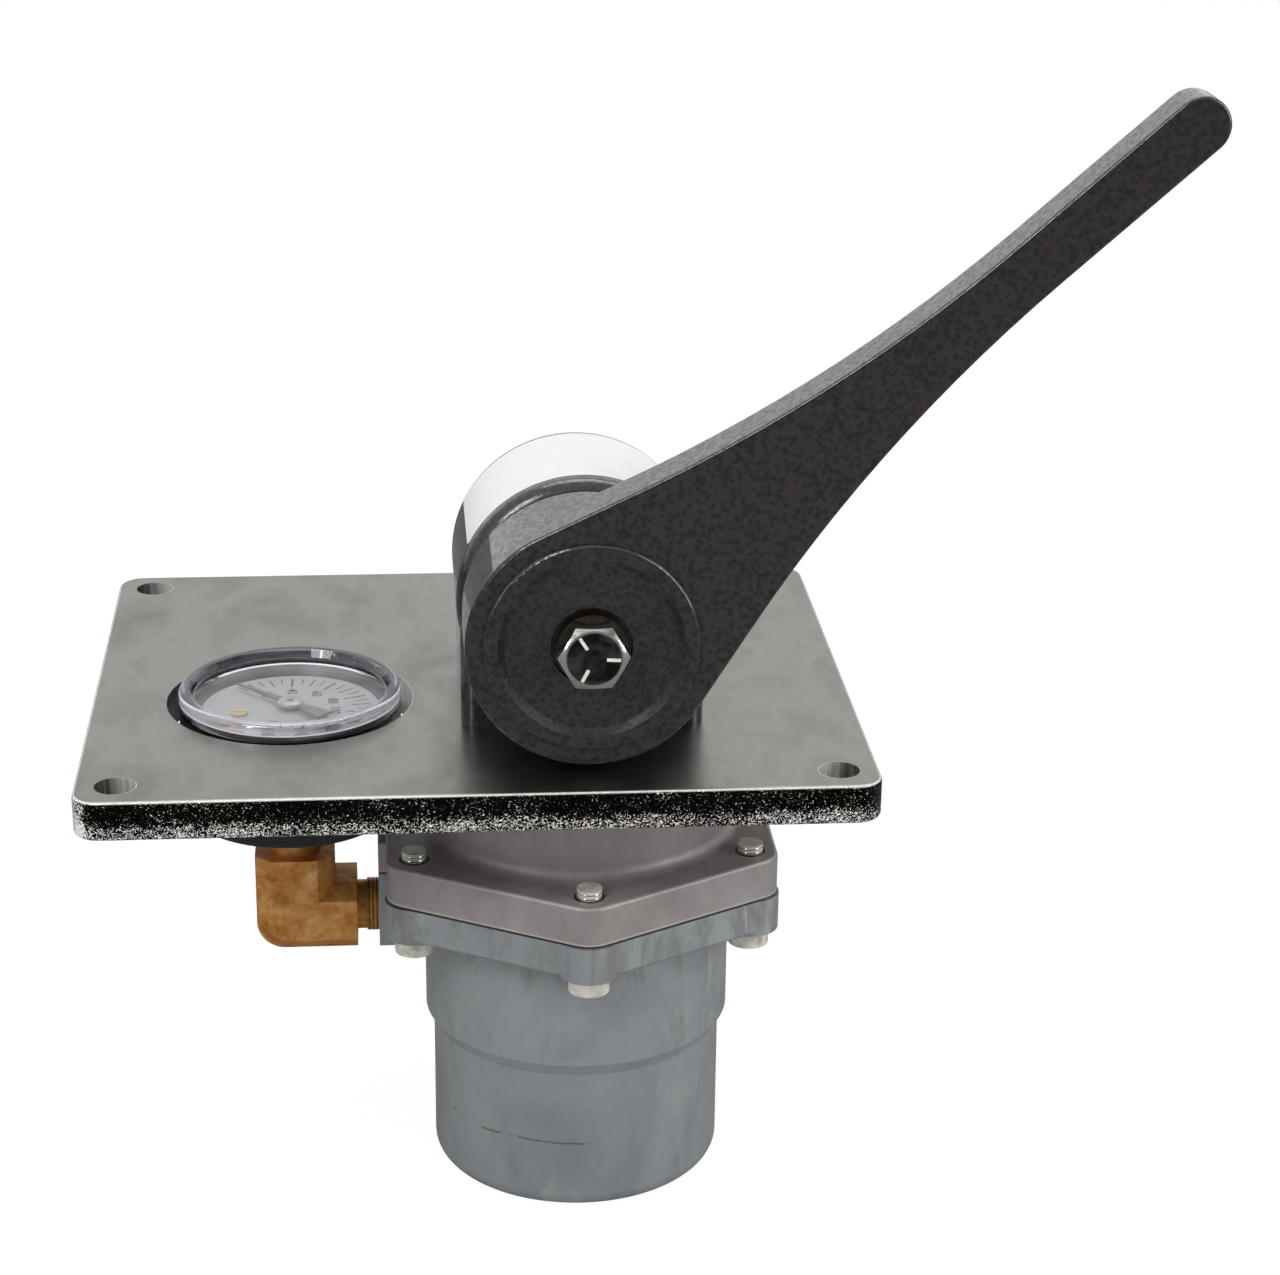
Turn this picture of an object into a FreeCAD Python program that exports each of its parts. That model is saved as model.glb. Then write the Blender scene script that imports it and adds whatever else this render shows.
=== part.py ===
import FreeCAD, Part
import math
import os

# Hand-lever air control valve on a panel plate, with a piped pressure gauge.
# Millimetres. Origin: centre of the four panel holes on the plate's underside, +Z up,
# lever side towards -Y, gauge towards -X.

# Panel plate
PLATE_X = 184.15
PLATE_Y = 152.4
PLATE_T = 9.525
PLATE_CORNER_R = 6.35
PLATE_EDGE_R = 1.0
PANEL_PITCH_X = 165.1
PANEL_PITCH_Y = 133.35
PANEL_HOLE_R = 4.7625

# Axes of the valve and the gauge
VALVE_X = 25.4
VALVE_Y = -15.0
GAUGE_X = -44.5
GAUGE_Y = -15.0
AXIS_Z = 40.5

# Camshaft housing
HOUSING_R = 29.9
HOUSING_LEG = 29.0
HOUSING_FRONT = -36.5
HOUSING_REAR = 7.0
HOUSING_RIM_R = 4.0
HOUSING_WALL_SIDE = 6.0
CAVITY_HALF = 10.0
BUSHING_R = 10.5
BUSHING_L = 8.0
BUSHING_BLIND_L = 9.0

# Lever
HUB_R = 28.8
HUB_FRONT = -66.0
HUB_REAR = -38.0
HUB_EDGE_R = 1.8
HUB_REAR_EDGE_R = 2.6
RING_OUT_R = 24.7
RING_IN_R = 21.0
RING_H = 1.0
DISH_DEPTH = 0.6
BORE_SINK_R = 9.35
BORE_SINK_Y = -63.0
ARM_ANGLE = 41.8
ARM_TIP = 176.2
ARM_ROOT_T = 12.0
ARM_TIP_T = 10.5
ARM_HALF_W = 6.5
ARM_TAPER = 16.3
ARM_BLEND_R = 360.0
ARM_EDGE_R = 0.8

# Camshaft, cam and roller
SHAFT_R = 8.0
SHAFT_FRONT = -61.5
SHAFT_REAR = 2.5
RUN_FIT = 0.03
CAM_BASE_R = 11.0
CAM_LIFT = 6.0
CAM_SPAN = 90.0
CAM_HALF_T = 4.0
CAM_HUB_R = 10.5
CAM_GAP = 0.3
ROLLER_R = 5.0
ROLLER_HALF_T = 4.2
ROLLER_PIN_R = 2.0
KEY_W = 4.0
WASHER_T = 1.2
THRUST_R = 12.0
FRICTION_R = 18.0

# Clamp bolt, 3/8 inch
BOLT_R = 4.7625
BOLT_AF = 14.29
BOLT_HEAD_H = 6.3
BOLT_CROWN = 1.1
FLAT_WASHER_R = 9.1
FLAT_WASHER_T = 1.6
LOCK_WASHER_R = 8.2
LOCK_WASHER_T = 2.4

# Upper cover and lower body
BOSS_R = 38.0
CHAMBER_R = 30.0
ROOF_T = 7.0
NECK_R = 13.0
NECK_TOP = 14.0
NECK_CLEAR = 0.3
COVER_FLANGE_TOP = -23.3
GASKET_TOP = -33.2
GASKET_T = 0.6
BODY_FLANGE_BOTTOM = -42.4
SPOT_PROUD = 0.6
HEX_AF = 94.8
HEX_CORNER_R = 7.0
FLANGE_TURN = 30.0
STEP_TOP = -73.0
STEP_BOTTOM = -76.5
SKIRT_R = 36.0
BODY_BOTTOM = -114.0
BODY_EDGE_R = 4.0
SCREW_CIRCLE_R = 47.0
SCREW_R = 3.0
SCREW_HEAD_R = 4.9
SCREW_HEAD_H = 4.4
SCREW_TIP_H = 2.3
SPOT_R = 7.2

# Piston, seat and poppet
PISTON_BORE_R = 25.0
PISTON_CLEAR = 0.08
PISTON_TOP = -36.0
PISTON_T = 5.0
PISTON_TRAVEL = 1.5
STEM_R = 4.0
STEM_BORE_R = 2.0
WEB_TOP = -50.0
WEB_BOTTOM = -60.0
SEAT_R = 11.0
SEAT_BORE_R = 5.5
SEAT_LIP = 1.0
POPPET_R = 9.5
POPPET_T = 3.0
POPPET_STEM_R = 3.0
EXHAUST_GAP = 0.6
SUPPLY_R = 27.5
CAP_TOP = BODY_BOTTOM + 10.0
CAP_T = 7.0
POST_R = 7.5
POST_TOP = CAP_TOP + 20.0
SNAP_T = 1.4
SNAP_DEPTH = 1.3
SNAP_W = 3.0

# Plunger and springs
PLUNGER_R = 9.0
SEAT_DISC_R = 15.0
SEAT_DISC_T = 3.0
SEAT_DISC_TOP = -10.0
MAIN_SPRING_R = 12.0
MAIN_WIRE_R = 1.4
VALVE_SPRING_R = 5.4
VALVE_WIRE_R = 0.6

# Ports, 1/4 inch pipe
PORT_R = 5.7
PORT_L = 13.0
PORT_BOSS_R = 11.0
PORT_PROUD = 2.5
INSERT_R = 8.6
PASSAGE_R = 3.5
DELIVERY_Z = -58.0
SUPPLY_Z = -85.5
NIPPLE_R = 6.5
NIPPLE_SHANK_R = 6.1
GAUGE_PORT_Z = -46.0
PAD_X = -24.0
PAD_W = 18.6
PAD_TOP = -25.5
PAD_BOTTOM = -53.2

# Elbow
ELBOW_SIDE = 9.7
ELBOW_RISE = 8.8
ELBOW_FLAT = 5.6
ELBOW_FLAT_RISE = 5.2
ELBOW_CORNER_R = 7.0
ELBOW_FLAT_R = 4.0
ELBOW_TOP = -29.7
ELBOW_END_X = -29.4
ELBOW_BORE_R = 4.5

# Gauge, 2 inch
GAUGE_HOLE_R = 29.7
CASE_R = 25.4
CASE_WALL = 1.3
CASE_BACK = -19.3
CASE_TOP = 8.0
CASE_EDGE_R = 1.2
LEDGE_Z = 6.2
LEDGE_W = 1.4
DIAL_T = 0.8
LENS_R = 26.8
LENS_BOTTOM = 2.0
LENS_TOP = 13.2
LENS_RIM_IN_R = 24.3
WINDOW_Z = 9.6
WINDOW_T = 1.8
STEM_AF = 14.3
STEM_FLAT_BOTTOM = -25.4
SPIGOT_R = 6.4
SPIGOT_L = 8.5
STEM_NECK_R = 6.0
STEM_BLOCK = 5.0
TUBE_R = 17.5
POINTER_L = 19.0
POINTER_TAIL = 12.0
POINTER_ANGLE = 135.0

V = FreeCAD.Vector
DOWN = V(0, 0, -1)
UP = V(0, 0, 1)
BACK = V(0, 1, 0)
RIGHT = V(1, 0, 0)
VALVE = V(VALVE_X, VALVE_Y, 0)
GAUGE = V(GAUGE_X, GAUGE_Y, 0)
BODY_TOP = GASKET_TOP - GASKET_T
CAM_ZERO_Z = AXIS_Z - CAM_BASE_R - ROLLER_R - CAM_GAP


def cyl_z(centre, r, z0, z1):
    return Part.makeCylinder(r, z1 - z0, V(centre.x, centre.y, z0), UP)


def cyl_y(x, z, r, y0, y1):
    return Part.makeCylinder(r, y1 - y0, V(x, y0, z), BACK)


def cyl_x(y, z, r, x0, x1):
    return Part.makeCylinder(r, x1 - x0, V(x0, y, z), RIGHT)


def box(x0, x1, y0, y1, z0, z1):
    return Part.makeBox(x1 - x0, y1 - y0, z1 - z0, V(x0, y0, z0))


def prism(points, direction):
    return Part.Face(Part.makePolygon(points + [points[0]])).extrude(direction)


def round_edges(shape, radius, wanted):
    picked = [e for e in shape.Edges if wanted(e)]
    return shape.makeFillet(radius, picked)


def level(edge, z, tol=1e-4):
    b = edge.BoundBox
    return abs(b.ZMin - z) < tol and abs(b.ZMax - z) < tol


def depth(edge, y, tol=1e-4):
    b = edge.BoundBox
    return abs(b.YMin - y) < tol and abs(b.YMax - y) < tol


def upright(edge):
    b = edge.BoundBox
    return b.ZLength > 0.1 and b.XLength < 1e-4 and b.YLength < 1e-4


def around(centre, radius, angles):
    spots = []
    for a in angles:
        t = math.radians(a)
        spots.append(V(centre.x + radius * math.cos(t), centre.y + radius * math.sin(t), 0))
    return spots


def hexagon(centre, across, z0, z1, start=0.0, corner=0.0):
    spots = around(centre, across / math.sqrt(3.0), [start + 60.0 * i for i in range(6)])
    for p in spots:
        p.z = z0
    solid = prism(spots, V(0, 0, z1 - z0))
    if corner > 0:
        solid = round_edges(solid, corner, upright)
    return solid


def spring_sleeve(centre, mean_r, wire_r, z0, z1):
    outer = cyl_z(centre, mean_r + wire_r, z0, z1)
    return outer.cut(cyl_z(centre, mean_r - wire_r, z0, z1))


def ring_z(centre, r_in, r_out, z0, z1):
    return cyl_z(centre, r_out, z0, z1).cut(cyl_z(centre, r_in, z0, z1))


def ring_y(r_in, r_out, y0, y1):
    return cyl_y(VALVE_X, AXIS_Z, r_out, y0, y1).cut(cyl_y(VALVE_X, AXIS_Z, r_in, y0, y1))


# Places that several pieces share
PANEL_SPOTS = [V(sx * PANEL_PITCH_X / 2, sy * PANEL_PITCH_Y / 2, 0) for sx in (-1, 1) for sy in (-1, 1)]
FLANGE_SPOTS = around(VALVE, SCREW_CIRCLE_R, [FLANGE_TURN + 60 * i for i in range(6)])
CLAMP_X = 19.0
CLAMP_Y = 15.25
CLAMP_R = 3.1
CLAMP_HEAD_R = 4.8
CLAMP_SPOTS = [V(VALVE_X + sx * CLAMP_X, VALVE_Y + sy * CLAMP_Y, 0) for sx in (-1, 1) for sy in (-1, 1)]
CLAMP_TOP = 24.0


# Plate: rounded corners, softened rim, panel holes, gauge hole and neck hole
def panel_plate():
    s = box(-PLATE_X / 2, PLATE_X / 2, -PLATE_Y / 2, PLATE_Y / 2, 0, PLATE_T)
    s = round_edges(s, PLATE_CORNER_R, upright)
    s = s.makeFillet(PLATE_EDGE_R, [e for e in s.Edges if level(e, PLATE_T) or level(e, 0)])
    for p in PANEL_SPOTS:
        s = s.cut(cyl_z(p, PANEL_HOLE_R, 0, PLATE_T))
    s = s.cut(cyl_z(GAUGE, GAUGE_HOLE_R, 0, PLATE_T))
    s = s.cut(cyl_z(VALVE, NECK_R + NECK_CLEAR, 0, PLATE_T))
    for p in CLAMP_SPOTS:
        s = s.cut(cyl_z(p, CLAMP_R + 0.3, 0, PLATE_T))
    return s


# Camshaft housing: arched block, open below, with a bore through the front wall
def arch(radius, leg_half, y0, y1, z0):
    top = cyl_y(VALVE_X, AXIS_Z, radius, y0, y1)
    leg = box(VALVE_X - leg_half, VALVE_X + leg_half, y0, y1, z0, AXIS_Z)
    clear = box(VALVE_X - 2 * radius, VALVE_X + 2 * radius, y0, y1, z0, AXIS_Z + radius)
    return top.fuse(leg).common(clear).removeSplitter()


def camshaft_housing():
    s = arch(HOUSING_R, HOUSING_LEG, HOUSING_FRONT, HOUSING_REAR, PLATE_T)
    rim = [e for e in s.Edges if (depth(e, HOUSING_FRONT) or depth(e, HOUSING_REAR)) and not level(e, PLATE_T)]
    s = s.makeFillet(HOUSING_RIM_R, rim)
    inner = HOUSING_LEG - HOUSING_WALL_SIDE
    s = s.cut(arch(inner, inner, VALVE_Y - CAVITY_HALF, VALVE_Y + CAVITY_HALF, PLATE_T))
    s = s.cut(cyl_z(VALVE, NECK_R + NECK_CLEAR, PLATE_T, NECK_TOP + NECK_CLEAR))
    s = s.cut(cyl_y(VALVE_X, AXIS_Z, BUSHING_R, HOUSING_FRONT, VALVE_Y))
    s = s.cut(cyl_y(VALVE_X, AXIS_Z, BUSHING_R, VALVE_Y, VALVE_Y + CAVITY_HALF + BUSHING_BLIND_L))
    for p in CLAMP_SPOTS:
        s = s.cut(cyl_z(p, CLAMP_R, PLATE_T, CLAMP_TOP + 1.5))
    return s


def clamp_screws():
    group = []
    for p in CLAMP_SPOTS:
        head = cyl_z(p, CLAMP_HEAD_R, -ROOF_T - 5.0, -ROOF_T)
        group.append(head.fuse(cyl_z(p, CLAMP_R, -ROOF_T, CLAMP_TOP)).removeSplitter())
    return Part.Compound(group)


FRONT_WALL = VALVE_Y - CAVITY_HALF
REAR_WALL = VALVE_Y + CAVITY_HALF


def front_bushing():
    return ring_y(SHAFT_R + RUN_FIT, BUSHING_R, FRONT_WALL - BUSHING_L, FRONT_WALL)


def rear_bushing():
    return ring_y(SHAFT_R + RUN_FIT, BUSHING_R, REAR_WALL, REAR_WALL + BUSHING_L)


def shaft_seal():
    return ring_y(SHAFT_R + 0.1, BUSHING_R, HOUSING_FRONT, FRONT_WALL - BUSHING_L)


def thrust_washers():
    front = ring_y(SHAFT_R + 0.2, THRUST_R, FRONT_WALL, FRONT_WALL + WASHER_T)
    rear = ring_y(SHAFT_R + 0.2, THRUST_R, REAR_WALL - WASHER_T, REAR_WALL)
    return Part.Compound([front, rear])


def friction_washer():
    return ring_y(SHAFT_R + 0.3, FRICTION_R, HUB_REAR, HOUSING_FRONT)


# Camshaft: keyed at the cam and at the lever, tapped at its front end
def key_block(y0, y1, grow=0.0):
    half = KEY_W / 2
    return box(VALVE_X - half, VALVE_X + half, y0 - grow, y1 + grow,
               AXIS_Z + SHAFT_R - half, AXIS_Z + SHAFT_R + half + grow)


CAM_Y0 = VALVE_Y - CAM_HALF_T
CAM_Y1 = VALVE_Y + CAM_HALF_T
LEVER_KEY_Y0 = -56.0
LEVER_KEY_Y1 = -44.0


def camshaft():
    s = cyl_y(VALVE_X, AXIS_Z, SHAFT_R, SHAFT_FRONT, SHAFT_REAR)
    s = s.makeChamfer(0.6, [e for e in s.Edges if depth(e, SHAFT_REAR)])
    s = s.cut(cyl_y(VALVE_X, AXIS_Z, BOLT_R, SHAFT_FRONT, SHAFT_FRONT + 20.0))
    s = s.cut(key_block(CAM_Y0, CAM_Y1))
    return s.cut(key_block(LEVER_KEY_Y0, LEVER_KEY_Y1))


def shaft_keys():
    return Part.Compound([key_block(CAM_Y0, CAM_Y1), key_block(LEVER_KEY_Y0, LEVER_KEY_Y1)])


# Cam: the roller's centre rises evenly with the angle, and the flank is offset from that path
def cam_point(turn, extra=0.0):
    rate = CAM_LIFT / math.radians(CAM_SPAN)
    rho = CAM_BASE_R + ROLLER_R + rate * turn
    a = -math.pi / 2 - turn
    tangent = V(-math.sin(a) * rho - math.cos(a) * rate, 0, math.cos(a) * rho - math.sin(a) * rate)
    tangent.normalize()
    outward = V(tangent.z, 0, -tangent.x)
    centre = V(rho * math.cos(a), 0, rho * math.sin(a))
    if outward.dot(centre) < 0:
        outward = outward.multiply(-1)
    flank = centre - outward.multiply(ROLLER_R + extra)
    return V(VALVE_X + flank.x, CAM_Y0, AXIS_Z + flank.z)


def cam_disc():
    turns = [math.radians(CAM_SPAN + 6.0) * i / 8.0 for i in range(9)]
    rise_points = [cam_point(t) for t in turns]
    rise = Part.BSplineCurve()
    rise.interpolate(rise_points)
    start = rise_points[0]
    end = rise_points[-1]
    nose_r = math.hypot(end.x - VALVE_X, end.z - AXIS_Z)
    nose_a = math.atan2(end.z - AXIS_Z, end.x - VALVE_X)

    def polar(r, a):
        return V(VALVE_X + r * math.cos(a), CAM_Y0, AXIS_Z + r * math.sin(a))

    crest = polar(nose_r, nose_a - math.radians(14))
    crest_mid = polar(nose_r + 0.1, nose_a - math.radians(7))
    back = polar(CAM_BASE_R, math.radians(80))
    fall_mid = polar((nose_r + CAM_BASE_R) / 2 + 1.2, math.radians(120))
    base_a = math.atan2(start.z - AXIS_Z, start.x - VALVE_X)
    base_mid = polar(CAM_BASE_R, (math.radians(80) + base_a) / 2)
    edges = [rise.toShape(),
             Part.Arc(end, crest_mid, crest).toShape(),
             Part.Arc(crest, fall_mid, back).toShape(),
             Part.Arc(back, base_mid, start).toShape()]
    profile = Part.Wire(Part.__sortEdges__(edges))
    disc = Part.Face(profile).extrude(V(0, 2 * CAM_HALF_T, 0))
    hub = cyl_y(VALVE_X, AXIS_Z, CAM_HUB_R, FRONT_WALL + WASHER_T + 0.3, REAR_WALL - WASHER_T - 0.3)
    s = disc.fuse(hub)
    s = s.cut(cyl_y(VALVE_X, AXIS_Z, SHAFT_R, FRONT_WALL, REAR_WALL))
    return s.cut(key_block(CAM_Y0, CAM_Y1)).removeSplitter()


# Lever: a deep keyed hub with a raised ring and dish, and an arm that tapers to a slim grip
def arm_outline(y):
    t = math.radians(ARM_TAPER)
    s0 = HUB_R * math.sin(t)
    w0 = HUB_R * math.cos(t)
    slope = math.tan(t)
    meet = s0 + (w0 - ARM_HALF_W) / slope
    run = ARM_BLEND_R * math.tan(t / 2)
    a_s = meet - run * math.cos(t)
    a_w = ARM_HALF_W + run * math.sin(t)
    b_s = meet + run
    m_s = b_s - ARM_BLEND_R * math.sin(t / 2)
    m_w = ARM_HALF_W + ARM_BLEND_R * (1 - math.cos(t / 2))
    turn = math.radians(ARM_ANGLE)

    def at(s, w):
        return V(VALVE_X + s * math.cos(turn) - w * math.sin(turn), y,
                 AXIS_Z + s * math.sin(turn) + w * math.cos(turn))

    tip = ARM_TIP
    h = ARM_HALF_W
    edges = [Part.makeLine(at(s0, w0), at(a_s, a_w)),
             Part.Arc(at(a_s, a_w), at(m_s, m_w), at(b_s, h)).toShape(),
             Part.makeLine(at(b_s, h), at(tip, h)),
             Part.Arc(at(tip, h), at(tip + h, 0), at(tip, -h)).toShape(),
             Part.makeLine(at(tip, -h), at(b_s, -h)),
             Part.Arc(at(b_s, -h), at(m_s, -m_w), at(a_s, -a_w)).toShape(),
             Part.makeLine(at(a_s, -a_w), at(s0, -w0)),
             Part.makeLine(at(s0, -w0), at(s0, w0))]
    return Part.Wire(edges)


def lever():
    arm = Part.Face(arm_outline(HUB_FRONT)).extrude(V(0, ARM_ROOT_T, 0))
    turn = math.radians(ARM_ANGLE)
    along = V(math.cos(turn), 0, math.sin(turn))
    across = V(-math.sin(turn), 0, math.cos(turn))
    centre = V(VALVE_X, 0, AXIS_Z)
    near = centre + along * HUB_R
    far = centre + along * (ARM_TIP + 20.0)
    rear = HUB_FRONT + ARM_ROOT_T
    thin = HUB_FRONT + ARM_TIP_T
    wedge = prism([near + V(0, rear, 0) - across * 40, far + V(0, thin, 0) - across * 40,
                   far + V(0, rear + 1, 0) - across * 40, near + V(0, rear + 1, 0) - across * 40], across * 80)
    arm = arm.cut(wedge)
    hub = cyl_y(VALVE_X, AXIS_Z, HUB_R, HUB_FRONT, HUB_REAR)
    s = arm.fuse(hub).removeSplitter()
    front = [e for e in s.Edges if depth(e, HUB_FRONT)]
    s = s.makeFillet(ARM_EDGE_R, front)
    back_edge = [e for e in s.Edges if depth(e, HUB_REAR)]
    s = s.makeFillet(HUB_REAR_EDGE_R, back_edge)
    ring = cyl_y(VALVE_X, AXIS_Z, RING_OUT_R, HUB_FRONT - RING_H, HUB_FRONT + 0.5)
    ring = ring.makeFillet(0.8, [e for e in ring.Edges if depth(e, HUB_FRONT - RING_H)])
    s = s.fuse(ring)
    floor = HUB_FRONT + DISH_DEPTH
    dish = Part.makeCone(RING_IN_R - 1.2, RING_IN_R + 0.4, floor - HUB_FRONT + RING_H,
                         V(VALVE_X, floor, AXIS_Z), V(0, -1, 0))
    s = s.cut(dish)
    s = s.cut(cyl_y(VALVE_X, AXIS_Z, BORE_SINK_R, HUB_FRONT - 2, BORE_SINK_Y))
    s = s.cut(cyl_y(VALVE_X, AXIS_Z, SHAFT_R, BORE_SINK_Y, HUB_REAR))
    return s.cut(key_block(LEVER_KEY_Y0, LEVER_KEY_Y1)).removeSplitter()


# Clamp bolt and its washers
WASHER_Y = BORE_SINK_Y - FLAT_WASHER_T
LOCK_Y = WASHER_Y - LOCK_WASHER_T


def flat_washer():
    return ring_y(BOLT_R + 0.2, FLAT_WASHER_R, WASHER_Y, BORE_SINK_Y)


def lock_washer():
    s = ring_y(BOLT_R + 0.2, LOCK_WASHER_R, LOCK_Y, WASHER_Y)
    return s.cut(box(VALVE_X + BOLT_R, VALVE_X + 10, LOCK_Y, WASHER_Y, AXIS_Z - 0.5, AXIS_Z + 0.5))


def clamp_bolt():
    head = hexagon(V(0, 0, 0), BOLT_AF, 0, BOLT_HEAD_H)
    low = BOLT_HEAD_H - BOLT_CROWN
    corner = BOLT_AF / math.sqrt(3) + 0.5
    crown = Part.makeCone(corner, BOLT_AF / 2 - 0.4, BOLT_CROWN, V(0, 0, low), UP)
    head = head.common(crown.fuse(cyl_z(V(0, 0, 0), corner, 0, low)))
    head = head.fuse(cyl_z(V(0, 0, 0), BOLT_R, SHAFT_FRONT - WASHER_Y + LOCK_WASHER_T - 20.0, 0))
    head.rotate(V(0, 0, 0), RIGHT, 90)
    head.translate(V(VALVE_X, LOCK_Y, AXIS_Z))
    return head.removeSplitter()


# Plunger: forked head for the roller, guided stem, and spring seat
FORK_TOP = CAM_ZERO_Z + 3.6


def plunger():
    s = cyl_z(VALVE, PLUNGER_R - RUN_FIT, SEAT_DISC_TOP, FORK_TOP)
    slot = 4.5
    floor = CAM_ZERO_Z - ROLLER_R - 0.8
    s = s.cut(box(VALVE_X - 20, VALVE_X + 20, VALVE_Y - slot, VALVE_Y + slot, floor, FORK_TOP))
    s = s.cut(cyl_y(VALVE_X, CAM_ZERO_Z, ROLLER_PIN_R, VALVE_Y - 12, VALVE_Y + 12))
    s = s.fuse(cyl_z(VALVE, SEAT_DISC_R, SEAT_DISC_TOP - SEAT_DISC_T, SEAT_DISC_TOP))
    pilot = MAIN_SPRING_R - MAIN_WIRE_R - 0.4
    s = s.fuse(cyl_z(VALVE, pilot, SEAT_DISC_TOP - SEAT_DISC_T - 3.0, SEAT_DISC_TOP - SEAT_DISC_T))
    return s.removeSplitter()


def cam_roller():
    s = cyl_y(VALVE_X, CAM_ZERO_Z, ROLLER_R, VALVE_Y - ROLLER_HALF_T, VALVE_Y + ROLLER_HALF_T)
    s = s.makeChamfer(0.3, [e for e in s.Edges if depth(e, VALVE_Y - ROLLER_HALF_T) or depth(e, VALVE_Y + ROLLER_HALF_T)])
    return s.cut(cyl_y(VALVE_X, CAM_ZERO_Z, ROLLER_PIN_R + RUN_FIT, VALVE_Y - 6, VALVE_Y + 6))


def roller_pin():
    return cyl_y(VALVE_X, CAM_ZERO_Z, ROLLER_PIN_R, VALVE_Y - 7.4, VALVE_Y + 7.4)


MAIN_TOP = SEAT_DISC_TOP - SEAT_DISC_T
MAIN_BOTTOM = PISTON_TOP


def graduating_spring():
    return spring_sleeve(VALVE, MAIN_SPRING_R, MAIN_WIRE_R, MAIN_BOTTOM, MAIN_TOP)


# Upper cover: round boss, six-sided flange, guide neck, spring chamber and vent
def port_pad(z0, z1, x_in):
    return box(PAD_X, x_in, VALVE_Y - PAD_W / 2, VALVE_Y + PAD_W / 2, z0, z1)


def upper_cover():
    flange = hexagon(VALVE, HEX_AF, GASKET_TOP, COVER_FLANGE_TOP, FLANGE_TURN, HEX_CORNER_R)
    flange = flange.fuse(port_pad(GASKET_TOP, PAD_TOP, VALVE_X - 40))
    flange = flange.makeFillet(1.0, [e for e in flange.Edges if level(e, COVER_FLANGE_TOP)])
    s = flange.fuse(cyl_z(VALVE, BOSS_R, COVER_FLANGE_TOP - 2, 0))
    foot = [e for e in s.Edges if level(e, COVER_FLANGE_TOP) and e.Length > 5 * BOSS_R]
    s = s.makeFillet(3.0, foot)
    s = s.fuse(cyl_z(VALVE, NECK_R, -1, NECK_TOP))
    s = s.cut(cyl_z(VALVE, CHAMBER_R, GASKET_TOP, -ROOF_T))
    s = s.cut(cyl_z(VALVE, PLUNGER_R, -ROOF_T, NECK_TOP))
    s = s.cut(cyl_y(VALVE_X, -15.0, 4.0, VALVE_Y, VALVE_Y + BOSS_R + 5))
    for p in CLAMP_SPOTS:
        s = s.cut(cyl_z(p, CLAMP_R + 0.3, -ROOF_T, 0))
    for p in FLANGE_SPOTS:
        s = s.cut(cyl_z(p, SCREW_R, GASKET_TOP, COVER_FLANGE_TOP))
    return s.removeSplitter()


def flange_gasket():
    s = hexagon(VALVE, HEX_AF - 0.6, BODY_TOP, GASKET_TOP, FLANGE_TURN, HEX_CORNER_R)
    s = s.cut(cyl_z(VALVE, CHAMBER_R, BODY_TOP, GASKET_TOP))
    for p in FLANGE_SPOTS:
        s = s.cut(cyl_z(p, SCREW_R + 0.3, BODY_TOP, GASKET_TOP))
    return s


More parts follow.
